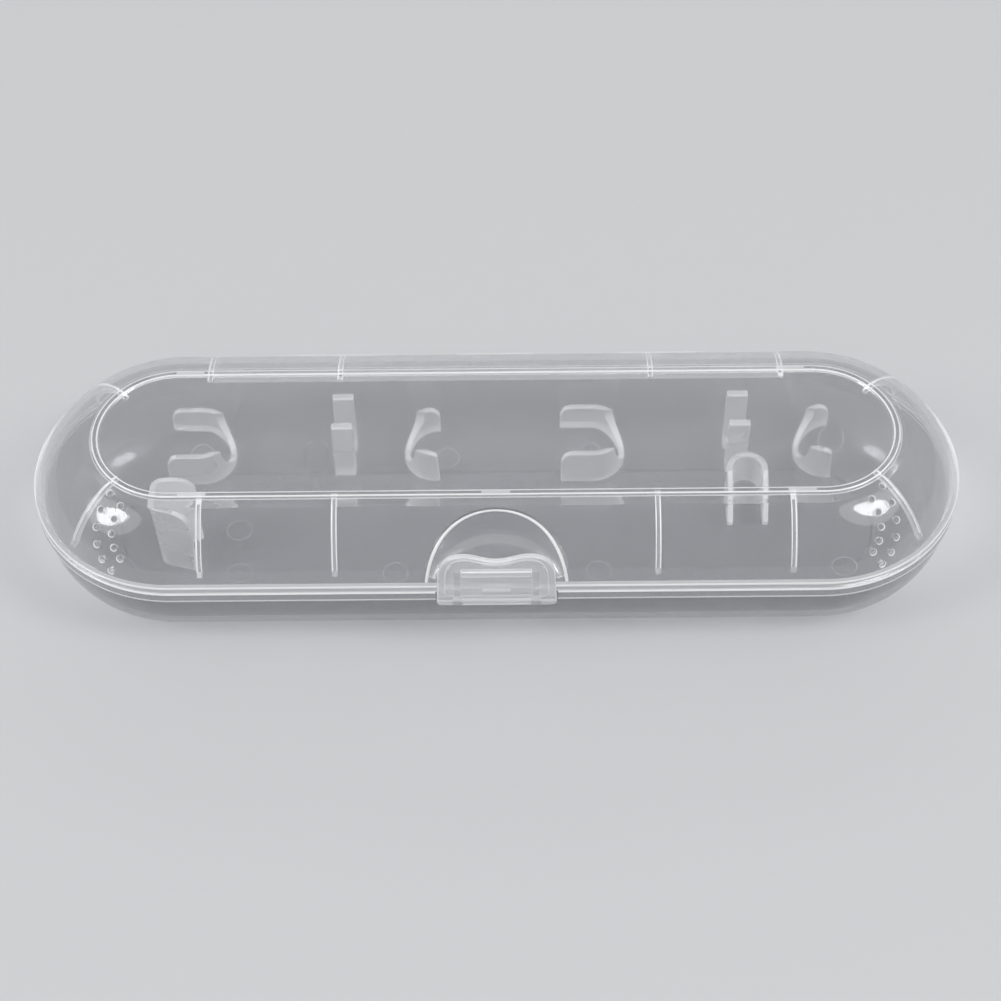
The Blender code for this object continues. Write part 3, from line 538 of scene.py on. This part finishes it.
def drum(margin):
    """An upright drum whose underside slopes down to the lip, with a rounded rim below."""
    mesh = bmesh.new()
    add_rod(mesh, (0, SCOOP_Y, PARTING), (0, SCOOP_Y, HEIGHT + WALL), SCOOP_RADIUS + margin, 128)
    slope = (SCOOP_SHELF - SCOOP_LIP) / (SCOOP_RADIUS - (-RIM - SCOOP_Y))
    for corner in mesh.verts:
        if corner.co.z < HEIGHT:
            corner.co.z = PARTING + SCOOP_LIP + slope * (corner.co.y + RIM) - margin
    rim = [edge for edge in mesh.edges if edge.calc_face_angle(0) > 1 and max(v.co.z for v in edge.verts) < HEIGHT]
    soften(mesh, rim, SCOOP_FILLET + margin, 10)
    return mesh


core = [point for point in inset(lid_curve, WALL / 2, -1) if point[1] > LID_FLANGE]
core.append((core[-1][0], LID_FOOT + GAP))
block = as_object("scoop_block", drum(WALL))
combine(block, "INTERSECT", swept(core))
mesh = bmesh.new()
mesh.from_mesh(block.data)
bpy.data.meshes.remove(block.data)
combine(lid, "UNION", mesh)
combine(lid, "DIFFERENCE", drum(0))

# %% [markdown]
# The scoop's rim is a rounded bead that catches the light. It is a tube of changing thickness along the line where the
# scoop cuts the dome: rings of points set square to the line, bridged one to the next.

# %% The scoop's rim
def scoop_rim_point(turn):
    x, y = SCOOP_RADIUS * math.sin(turn), SCOOP_Y + SCOOP_RADIUS * math.cos(turn)
    return Vector((x, y, height_on(lid_curve, -y)))


RIM_TURN = math.acos((-33.2 * MM - SCOOP_Y) / SCOOP_RADIUS)
rim_half = [scoop_rim_point(0)]
for step in range(1, 2001):
    point = scoop_rim_point(RIM_TURN * step / 2000)
    if (point - rim_half[-1]).length > 0.4 * MM and point.z > PARTING + SCOOP_LIP:
        rim_half.append(point)
rim_line = [Vector((-point.x, point.y, point.z)) for point in rim_half[:0:-1]] + rim_half
scoop_rim, last = bmesh.new(), None
for number, point in enumerate(rim_line):
    along = rim_line[min(number + 1, len(rim_line) - 1)] - rim_line[max(number - 1, 0)]
    thickness = (0.22 + 0.16 * min(abs(point.x) / (12 * MM), 1)) * MM
    ring = add_ring(scoop_rim, point, along, thickness)
    if last:
        bmesh.ops.bridge_loops(scoop_rim, edges=last + ring)
    last = ring
bmesh.ops.holes_fill(scoop_rim, edges=scoop_rim.edges, sides=0)
combine(lid, "UNION", scoop_rim)
print("scoop rim of", len(rim_line), "rings")

# %% [markdown]
# Ribs are thin walls with the same curve as the dome. Their outline is cut from two insets of the dome's curve, given
# a thickness and turned to its place: four straight across on each side and one on each slant at the ends.

# %% Ribs under the dome
RIB_WIDTH = 1.3 * MM
RIB_DEPTH = 1.2 * MM
RIB_FOOT = 0.3 * MM
RIB_FADE = 0.9 * MM
spine, edge_line = inset(lid_curve, WALL / 2, -1), inset(lid_curve, WALL + RIB_DEPTH, -1)
foot = LID_FLANGE + RIB_FOOT
upper = [(BEAD_IN, CROWN - WALL / 2)] + [point for point in spine if point[1] > foot + GAP]
lower = [(BEAD_IN, CROWN - WALL - RIB_DEPTH)] + [p for p in edge_line if p[1] > foot + RIB_FADE + GAP]
upper.append((radius_at(spine, foot), foot))
lower.append((radius_at(edge_line, foot + RIB_FADE), foot + RIB_FADE))
ribs = bmesh.new()
rib_places = [(side * x, turn) for x in (36.2 * MM, 66.5 * MM) for side in (-1, 1) for turn in (-90, 90)]
rib_places += [(side * ARC_X, 90 - side * 90 + turn) for side in (-1, 1) for turn in (-45, 45)]
for x, turn in rib_places:
    older = set(ribs.verts)
    add_slab(ribs, upper + lower[::-1], RIB_WIDTH, FRONT_VIEW)
    hanging = {corner for corner in ribs.verts if corner not in older
               and min(math.hypot(corner.co.x - u, corner.co.z - v) for u, v in lower) < WELD}
    long_edges = [edge for edge in ribs.edges if set(edge.verts) <= hanging and edge.verts[0].co.y * edge.verts[1].co.y > 0]
    soften(ribs, long_edges, 0.3 * MM, 2)
    bmesh.ops.transform(ribs, verts=[corner for corner in ribs.verts if corner not in older],
                        matrix=Matrix.Translation((x, 0, 0)) @ Matrix.Rotation(math.radians(turn), 4, "Z"))
combine(lid, "UNION", ribs)
print(len(rib_places), "ribs")

# %% Locating rib along the hinge side
locator = bmesh.new()
back, front = WALL_IN - GAP, WALL_IN - GAP - 1.0 * MM
outline = [(front, PARTING - 2.6 * MM), (back, PARTING - 2.6 * MM), (back, LID_FOOT + GAP),
           (WALL_IN + WALL / 2, LID_FOOT + GAP), (WALL_IN + WALL / 2, LID_FOOT + 1.5 * MM),
           (front, LID_FOOT + 1.5 * MM)]
add_slab(locator, outline, HINGE_SPAN, SIDE_VIEW)
combine(lid, "UNION", locator)

# %% [markdown]
# The vents lie on two arcs at each end, a wide one of six and a tight one of five. Their centres are laid out as seen
# from the front, and each is bored square to the dome there.

# %% Vent holes
VENT = 0.72 * MM
VENT_MOUTH = 0.2 * MM
VENT_ARCS = ((24.6, 6.4, 6.85, (57.5, 34.5, 11.5, -11.5, -34.5, -57.5)), (26.3, 5.05, 4.75, (55, 28.5, 2, -24.5, -51)))
vents, vent_lines = bmesh.new(), []
for end_inset, drop, arc_radius, turns in VENT_ARCS:
    for turn in turns:
        along = (107.5 - end_inset + arc_radius * math.cos(math.radians(turn))) * MM - ARC_X
        height = CROWN - (drop - arc_radius * math.sin(math.radians(turn))) * MM
        reach = radius_at(lid_curve, height)
        slope = (radius_at(lid_curve, height - GAP) - radius_at(lid_curve, height + GAP)) / (2 * GAP)
        across = math.sqrt(reach ** 2 - along ** 2)
        for side in (-1, 1):
            point = Vector((side * (ARC_X + along), -across, height))
            square = Vector((side * along / reach, -across / reach, slope)).normalized()
            rings = [add_ring(vents, point + square * depth, square, radius, 32)
                     for depth, radius in ((-1.5 * WALL, VENT), (-VENT_MOUTH, VENT), (0.12 * MM, VENT + VENT_MOUTH + 0.12 * MM))]
            for lower, upper in zip(rings, rings[1:]):
                bmesh.ops.bridge_loops(vents, edges=lower + upper)
            vent_lines.append((point, square))
bmesh.ops.holes_fill(vents, edges=vents.edges, sides=0)
combine(lid, "DIFFERENCE", vents)
add_hinge(lid, "lid")

# %% Gate marks: five short flats that the mould has left on the bead
def add_dish(mesh, middle, half, depth, slope):
    """A shallow rectangular dish with sloped sides, half its length and width given."""
    place = Matrix.Translation(middle) @ Matrix.Diagonal((*half, depth, 1))
    for corner in bmesh.ops.create_cube(mesh, size=2, matrix=place)["verts"]:
        offset = corner.co - middle
        grow = slope if offset.z > 0 else -slope
        corner.co += Vector((math.copysign(grow, offset.x), math.copysign(grow, offset.y), 0))


GATES = tuple(Vector((x * MM, side * RING, HEIGHT - 0.05 * MM)) for x, side in
              ((-68, -1), (0, -1), (68.5, -1), (-71, 1), (68.5, 1)))
gates = bmesh.new()
for spot in GATES:
    add_dish(gates, spot, (3.1 * MM, 0.36 * MM), 0.10 * MM, 0.12 * MM)
combine(lid, "DIFFERENCE", gates)

# %% The lid's pale edges and painted highlights
# Faces near these edges are drawn paler: partly the milky density of rims, partly painted highlight.
LID_EDGES = ((BEAD_IN, CROWN, 0.22, 0.5), (BEAD_IN + 0.5 * MM, HEIGHT, 0.3, 1.0), (BEAD_OUT - 0.5 * MM, HEIGHT, 0.3, 1.0),
             (BEAD_OUT, CROWN - 0.1 * MM, 0.22, 0.5), (RIM, LID_FLANGE, 0.35, 0.9),
             (RIM, LID_FOOT + 0.25 * MM, 0.3, 0.8))


def rib_density_and_highlight(face):
    """1 on a rib's rounded edges, less on its sides, 0 off the ribs: painted highlight lines along the ribs."""
    point = face.center
    for x, turn in rib_places:
        out = Vector((math.cos(math.radians(turn)), math.sin(math.radians(turn)), 0))
        from_foot = point - Vector((x, 0, point.z))
        along, across = from_foot.dot(out), abs(from_foot.cross(out).z)
        if along < BEAD_IN - 0.1 * MM or across > RIB_WIDTH / 2 + 0.02 * MM or point.z > CEILING + 0.05 * MM:
            continue
        if across > RIB_WIDTH / 2 - 0.02 * MM and abs(face.normal.cross(out).z) > 0.97:
            return 0.8
        if across > RIB_WIDTH / 2 - 0.31 * MM and 0.2 < abs(face.normal.cross(out).z) < 0.97:
            return 1.0
        if point.z < height_on(lid_curve, max(min(along, WALL_OUT), RING)) - WALL * 1.2:
            return 0.25
    return 0.0


def lid_density_and_highlight(face):
    point, radius = face.center, from_axis(face.center)
    for across, height, reach, value in LID_EDGES:
        if math.hypot(radius - across, point.z - height) < reach * MM:
            return value
    if abs(point.z - LID_FLANGE) < 0.05 * MM and radius > WALL_OUT - 0.3 * MM:
        return 0.5
    if radius > RIM + 0.2 * MM:
        return 0.75
    if face.area < 1.5 * MM * MM:
        # Painted highlight on the scoop's rim bead.
        if point.y < -20 * MM and min((point - spot).length for spot in rim_line) < 0.5 * MM:
            return 1.0
        # Painted highlight on the sloped mouths of the vents.
        for spot, square in vent_lines:
            if (point - spot).cross(square).length < VENT * 1.4 and (point - spot).length < 3 * MM:
                return 0.75 if 0.2 < face.normal.dot(square) < 0.9 else 0.0
    for spot in GATES:
        if abs(point.x - spot.x) < 3.4 * MM and abs(point.y - spot.y) < 0.7 * MM and point.z < HEIGHT - 0.07 * MM:
            return 0.5 if face.normal.z > 0.98 else 1.0
    # The locating rib along the back is drawn pale too, painted highlight.
    if point.y > 0 and point.z < LID_FOOT + 1.6 * MM and WALL_IN - 1.5 * MM < point.y < WALL_IN:
        return 0.7
    # A faint painted band of light on the scoop's fillet.
    from_drum = SCOOP_RADIUS - math.hypot(point.x, point.y - SCOOP_Y)
    if 0 < from_drum < SCOOP_FILLET and point.y < -RING and 0.3 < face.normal.z < 0.95:
        return 0.16
    return max(rib_density_and_highlight(face), 0.22 if radius > RIM - 0.1 * MM else 0.0)


finish(lid, lid_plastic, "lid", ["lid_shell"], lid_density_and_highlight)

# %% [markdown]
# ## The clasp
#
# The clasp is a small tray standing on edge: a rounded frame round a thinner plate, a barrel along its foot for the
# rod, a bar across its front to pull on, and behind it the hook that snaps over the lid's flange.

# %% The clasp's outline
CLASP_BACK, CLASP_FRONT = -34.5 * MM, -36.0 * MM
CLASP_FOOT, CLASP_TOP = 19.3 * MM, 37.4 * MM
CLASP_SHOULDER = CLASP_TOP - 9.5 * MM
CLASP_EAR = 7.2 * MM
CLASP_DIP = 1.8 * MM
CLASP_FRAME = 1.6 * MM
CLASP_POCKET = 0.7 * MM
CLASP_BARREL = 1.25 * MM


def clasp_outline(margin, foot, steps=20):
    """The clasp from the front: rounded foot, slightly tapered sides, and two ears with a dip between them."""
    half, top = CLASP_HALF - margin, CLASP_TOP - margin
    corner, fullness = 1.2 * MM, 2 / 2.5
    right = []
    for step in range(0, steps + 1, 4):
        turn = math.pi / 2 * step / steps
        right.append((half - corner * (1 - math.sin(turn)), foot + corner * (1 - math.cos(turn))))
    for step in range(steps + 1):
        turn = math.pi / 2 * step / steps
        right.append((CLASP_EAR + (half - GAP - CLASP_EAR) * math.cos(turn) ** fullness,
                      CLASP_SHOULDER + (top - CLASP_SHOULDER) * math.sin(turn) ** fullness))
    for step in range(1, steps):
        x = CLASP_EAR * (1 - step / steps)
        right.append((x, top - CLASP_DIP * (1 + math.cos(math.pi * x / CLASP_EAR)) / 2))
    return right + [(0, top - CLASP_DIP)] + [(-x, z) for x, z in reversed(right)]


# %% The plate, its frame and its fittings
plate, pocket, barrel, fittings, bores = (bmesh.new() for _ in range(5))
middle = Matrix.Translation((0, (CLASP_FRONT + CLASP_BACK) / 2, 0)) @ FRONT_VIEW
add_slab(plate, clasp_outline(0, CLASP_FOOT), CLASP_FRONT - CLASP_BACK, middle, 0.62 * MM, 5)
clasp = as_object("clasp", plate)
add_slab(pocket, clasp_outline(CLASP_FRAME, PIVOT_Z + CLASP_BARREL + GAP), 2 * CLASP_POCKET,
         Matrix.Translation((0, CLASP_BACK, 0)) @ FRONT_VIEW, 0.5 * MM, 4)
add_rod(barrel, (-CLASP_HALF + GAP, PIVOT_Y, PIVOT_Z), (CLASP_HALF - GAP, PIVOT_Y, PIVOT_Z), CLASP_BARREL, 40, 0.2 * MM)
bar_top, bar_height, bar_half = CLASP_TOP - 4.0 * MM, 1.9 * MM, 7.85 * MM
add_block(fittings, (-bar_half, -37.0 * MM, bar_top - bar_height), (bar_half, CLASP_FRONT + CLASP_POCKET / 2, bar_top),
          0.25 * MM)
root, tip, catch = CLASP_FRONT + CLASP_POCKET, CLASP_BACK + 1.1 * MM, LID_FLANGE + GAP
add_slab(fittings, [(root, catch), (tip, catch), (tip, catch + 0.6 * MM), (root, catch + 1.8 * MM)], 6.4 * MM,
         SIDE_VIEW, 0.12 * MM)
for side in (-1, 1):
    add_block(fittings, (side * 8.8 * MM - 0.65 * MM, root, PIVOT_Z + CLASP_BARREL / 2),
              (side * 8.8 * MM + 0.65 * MM, CLASP_BACK, bar_top - bar_height))
add_rod(bores, (-14 * MM, PIVOT_Y, PIVOT_Z), (14 * MM, PIVOT_Y, PIVOT_Z), ROD + 0.25 * MM, 24)
slots = bmesh.new()
for side in (-1, 1):
    half, room = EAR_WIDTH / 2 + GAP, ROD + GAP
    add_block(slots, (side * EAR_X - half, PIVOT_Y - room, CLASP_FOOT - WALL),
              (side * EAR_X + half, -WALL_OUT, PIVOT_Z + room))
for operation, mesh in (("DIFFERENCE", pocket), ("UNION", barrel), ("UNION", fittings), ("DIFFERENCE", bores),
                        ("DIFFERENCE", slots)):
    combine(clasp, operation, mesh)


def clasp_density_and_highlight(face):
    """Painted highlight on the rounded edges, which are those that face neither square to the front nor square to the
    sides. The hook and the blocks behind the plate are made paler too, painted light where they would look dark.
    """
    point, normal = face.center, face.normal
    slanted = 0.15 < abs(normal.y) < 0.96 or 0.2 < abs(normal.z) < 0.9
    if point.y < CLASP_FRONT - 0.05 * MM:
        return 0.9 if slanted else 0.3
    if slanted and point.z > CLASP_FOOT + 2.7 * MM:
        return 0.45 if abs(normal.y) < 0.8 else 0.2
    if abs(point.x) < 3.3 * MM and point.y > CLASP_BACK - 0.75 * MM:
        return 0.5
    if point.y > CLASP_FRONT + 0.75 * MM and abs(abs(point.x) - 8.8 * MM) < 0.75 * MM:
        return 0.3
    return 0.3 if abs(normal.y) < 0.1 and point.y > CLASP_FRONT + 0.5 * MM else 0.03


finish(clasp, clasp_plastic, "latch", ["latch_clasp"], clasp_density_and_highlight)

# %% The hinge pin
pin_mesh = bmesh.new()
add_rod(pin_mesh, (-HINGE_SPAN / 2, HINGE_Y, PARTING), (HINGE_SPAN / 2, HINGE_Y, PARTING), PIN, 24, 0.25 * MM)
finish(as_object("pin", pin_mesh), pin_plastic, "base", ["hinge_pin"], lambda face: 0.0)

# %% [markdown]
# ## The holders
#
# Cradles and posts are thin walls that stand on the floor and end in rounded tops. A wall is a row of upright sections
# along a line, each bridged to the next. The sections are rounded at the top and narrow towards the line's ends, so
# that every edge is soft: it is the soft edges that catch the light on frosted plastic. The tray's inside then trims
# the wall's foot.

# %% The room that holders may fill, and how one is finished
HOLDER_WALL = 1.3 * MM
TOP_SOFT = 0.24 * MM
room_curve = inset(tray_curve, WALL + GAP, 1)
room_profile = [(radius_at(room_curve, FLOOR + GAP), FLOOR + GAP)]
room_profile += [point for point in room_curve if point[1] > FLOOR + GAP + 0.1 * MM]
room_profile.append((WALL_IN - GAP, HEIGHT))


def stand(name, mesh, ends=()):
    """Trim a holder to the tray, mark its rounded top and its ends paler with painted highlight, and finish it."""
    item = as_object(name, mesh)
    combine(item, "INTERSECT", swept(room_profile))

    def pale_density_and_highlight(face):
        # Painted highlight: the rounded top and the wall's ends are drawn paler, and faces looking straight up a little
        # paler, painted light from above.
        point, normal = face.center, face.normal
        if point.z > FLOOR + 1 * MM and 0.12 < abs(normal.z) < 0.97:
            return 0.8
        if any(math.hypot(point.x - end.x, point.y - end.y) < 0.75 * MM for end in ends):
            return 0.5
        return 0.2 if normal.z > 0.9 else 0.0

    finish(item, holder_plastic, "base", [name.replace("_piece", "")], pale_density_and_highlight)


# %% A wall from sections
def soft_ends(points):
    """Extra points close to both ends of a line, where its sections will narrow."""
    near = (0.04 * MM, 0.12 * MM, 0.25 * MM, 0.42 * MM)
    for _ in range(2):
        step = points[1] - points[0]
        if step.length > 0.5 * MM:
            points = [points[0]] + [points[0] + step * (s / step.length) for s in near] + points[1:]
        points = points[::-1]
    return points


def wall(foot, top):
    """A wall between a line on the floor and a line along its top, both of as many points."""
    foot, top = ([Vector(point) for point in line] for line in (foot, top))
    if (top[1] - top[0]).length > 0.5 * MM:
        foot, top = soft_ends(foot), soft_ends(top)
    lengths = [(after - before).length for before, after in zip(foot, foot[1:])]
    mesh, last = bmesh.new(), None
    for number in range(len(foot)):
        to_end = min(sum(lengths[:number]), sum(lengths[number:]), 0.42 * MM)
        half = HOLDER_WALL / 2 - 0.42 * MM + math.sqrt(0.42 ** 2 - (0.42 - to_end / MM) ** 2) * MM
        low_side, high_side = (
            (line[min(number + 1, len(foot) - 1)] - line[max(number - 1, 0)]).cross(Vector((0, 0, 1))).normalized()
            for line in (foot, top))
        soft = min(TOP_SOFT, half * 0.9)
        arc = [(half - soft + soft * math.cos(a * math.pi / 8), soft * math.sin(a * math.pi / 8) - soft)
               for a in range(5)]
        section = [foot[number] + low_side * half]
        section += [top[number] + high_side * across + Vector((0, 0, drop)) for across, drop in arc]
        section += [top[number] - high_side * across + Vector((0, 0, drop)) for across, drop in reversed(arc)]
        section.append(foot[number] - low_side * half)
        corners = [mesh.verts.new(point) for point in section]
        loop = [mesh.edges.new((corners[n - 1], corners[n])) for n in range(len(corners))]
        if last:
            bmesh.ops.bridge_loops(mesh, edges=last + loop)
        last = loop
    bmesh.ops.holes_fill(mesh, edges=mesh.edges, sides=0)
    return mesh, (top[0], top[-1])


# %% Brush cradles and neck posts
BAY_Y = 20.5 * MM
CRADLE_TOP = FLOOR + 10.4 * MM
CRADLE_CORNER = 3.0 * MM


def cradle_line(width, length, steps=36):
    """A U on its side: closed end at 0, open end at minus length."""
    radius = (width - HOLDER_WALL) / 2
    arc = -HOLDER_WALL / 2 - radius
    straight = [(-length + (length + arc) * step / 10, radius) for step in range(10)]
    bend = [(arc + radius * math.sin(math.pi * step / steps), radius * math.cos(math.pi * step / steps))
            for step in range(steps + 1)]
    return straight + bend + [(x, -y) for x, y in reversed(straight)]


def brush_cradle(name, closed_x, facing, width, length):
    foot, top = [], []
    for along, across in cradle_line(width, length):
        near = max(CRADLE_CORNER - (along + length), 0)
        drop = CRADLE_CORNER - math.sqrt(CRADLE_CORNER ** 2 - near ** 2)
        x, y = closed_x - facing * along, BAY_Y + across
        foot.append((x, y, 0))
        top.append((x, y, CRADLE_TOP - drop))
    mesh, ends = wall(foot, top)
    item = as_object("cradle", mesh)
    notch = bmesh.new()
    add_rod(notch, (closed_x + facing * width / 3, 0, 0), (closed_x - facing * HOLDER_WALL, 0, 0), 6.0 * MM, 58)
    bmesh.ops.scale(notch, verts=notch.verts, vec=(1, 1, 8.7 / 6.0))
    bmesh.ops.translate(notch, verts=notch.verts, vec=(0, BAY_Y, CRADLE_TOP))
    combine(item, "DIFFERENCE", notch)
    made = bmesh.new()
    made.from_mesh(item.data)
    bpy.data.meshes.remove(item.data)
    stand(name, made, ends)


for bay, x in (("left", -63.7 * MM), ("right", 31.2 * MM)):
    brush_cradle(f"long_brush_cradle_{bay}_piece", x, -1, 15.9 * MM, 15.6 * MM)
    brush_cradle(f"short_brush_cradle_{bay}_piece", x + 41.2 * MM, 1, 15.0 * MM, 8.8 * MM)
    for end, side in (("front", -1), ("back", 1)):
        post = bmesh.new()
        outline = [(1.6 * MM, 0), (5.5 * MM, 0), (5.5 * MM, FLOOR + 18 * MM), (3.7 * MM, FLOOR + 18 * MM)]
        add_slab(post, [(BAY_Y + side * across, height) for across, height in outline], 5 * MM,
                 Matrix.Translation((x + 26.9 * MM, 0, 0)) @ SIDE_VIEW)
        soften(post, list(post.edges), 0.3 * MM)
        stand(f"neck_post_{bay}_{end}_piece", post)

# %% The cradle for the handle's neck
foot, top = [], []
for along, across in cradle_line(9.7 * MM, 14.5 * MM):
    share = min(1, (along + 14.5 * MM) / (14.5 * MM - 4.85 * MM))
    height = (1.5 + (9.6 - 1.5) * math.sin(share * math.pi / 2)) * MM
    foot.append((60 * MM + across, 13.7 * MM + along, 0))
    top.append((60 * MM + across, 13.7 * MM + along, FLOOR + height))
stand("handle_neck_cradle_piece", *wall(foot, top))

# %% The cradle for the butt of the handle
WEB_HALF = 3.4
BEND = 1.8
WINGS = {-1: (8.7, 2.3, 13.5, 3.8), 1: (9.5, 3.4, 12.6, 2.0)}


def end_cradle_half(side, steps=16):
    """Foot and top points from the middle of the web round its bend to the tip of one wing."""
    length, flare, tip_height, fullness = WINGS[side]
    reach = math.hypot(length, flare)
    places = [(0, 0, 0)]
    for step in range(steps // 2 + 1):
        share = step / (steps // 2)
        web = WEB_HALF - BEND * (1 - share) ** 2
        places.append((length / reach * BEND * share ** 2, web + flare / reach * BEND * share ** 2, 0))
    for step in range(1, steps + 1):
        out = BEND / reach + (1 - BEND / reach) * math.sin(math.pi / 2 * step / steps)
        places.append((length * out, WEB_HALF + flare * out, min(out, 1)))
    foot, top = [], []
    for forward, across, out in places:
        x, y = -107.5 + 27.9 + forward, -6.9 + side * across
        lean = 1.5 * (1 + side * min(across / WEB_HALF, 1))
        height = tip_height + (21.6 - tip_height) * (1 - out ** fullness) ** (1 / fullness)
        foot.append((MM * (x + 0.8 * (1 - forward / length)), MM * (y - lean), 0))
        top.append((MM * x, MM * y, FLOOR + MM * height))
    return foot, top


front_half, back_half = end_cradle_half(-1), end_cradle_half(1)
foot, top = (front[:0:-1] + back for front, back in zip(front_half, back_half))
stand("handle_end_cradle_piece", *wall(foot, top))

# %% [markdown]
# ## Table, light and camera
#
# The case lies on a plain pale table under large soft lamps, one high on each side, and a broad one from behind that
# draws the bright lines along the rims. The camera looks down at 52 degrees through a long lens, as in the photo.

# %% Table and surroundings
table_mesh = bmesh.new()
bmesh.ops.create_grid(table_mesh, x_segments=1, y_segments=1, size=3)
bmesh.ops.translate(table_mesh, verts=table_mesh.verts, vec=(0, 0, -0.05 * MM))
table = as_object("table", table_mesh)
table_paint = bpy.data.materials.new("pale table")
table_paint.use_nodes = True
table_paint.node_tree.nodes["Principled BSDF"].inputs["Base Color"].default_value = (0.60, 0.61, 0.62, 1)
table_paint.node_tree.nodes["Principled BSDF"].inputs["Roughness"].default_value = 0.45
table.data.materials.append(table_paint)
world = bpy.data.worlds.new("soft room")
bpy.context.scene.world = world
world.use_nodes = True
world.node_tree.nodes["Background"].inputs["Color"].default_value = (0.60, 0.61, 0.62, 1)
world.node_tree.nodes["Background"].inputs["Strength"].default_value = 0.6


# %% Lamps
def lamp(name, place, aim, size, power):
    data = bpy.data.lights.new(name, "AREA")
    data.shape, data.size, data.size_y, data.energy = "ELLIPSE", size[0], size[1], power
    item = bpy.data.objects.new(name, data)
    bpy.context.scene.collection.objects.link(item)
    item.location = place
    item.rotation_euler = (Vector(aim) - Vector(place)).to_track_quat("-Z", "Y").to_euler()


for side, place in (("left", (-1.18, -0.44, 1.15)), ("right", (1.0, -0.40, 1.29))):
    lamp(f"{side} softbox", place, (0, 0, 0), (0.46, 0.80), 8)
    lamp(f"{side} softbox's spill", Vector(place) * 1.02, (0, 0, 0), (1.1, 1.3), 5)
lamp("back softbox", (0, 1.68, 0.99), (0, 0, 0), (2.56, 0.64), 4)

# %% Camera
camera_data = bpy.data.cameras.new("camera")
camera_data.lens, camera_data.sensor_width = 82.49, 36
camera = bpy.data.objects.new("camera", camera_data)
bpy.context.scene.collection.objects.link(camera)
camera.matrix_world = (Matrix.Translation((0.00299, -0.3346, 0.44)) @ Matrix.Rotation(0.0062, 4, "Z")
                       @ Matrix.Rotation(math.radians(38), 4, "X") @ Matrix.Rotation(-0.0139, 4, "Z"))
bpy.context.scene.camera = camera
bpy.context.scene.view_settings.view_transform = "Standard"
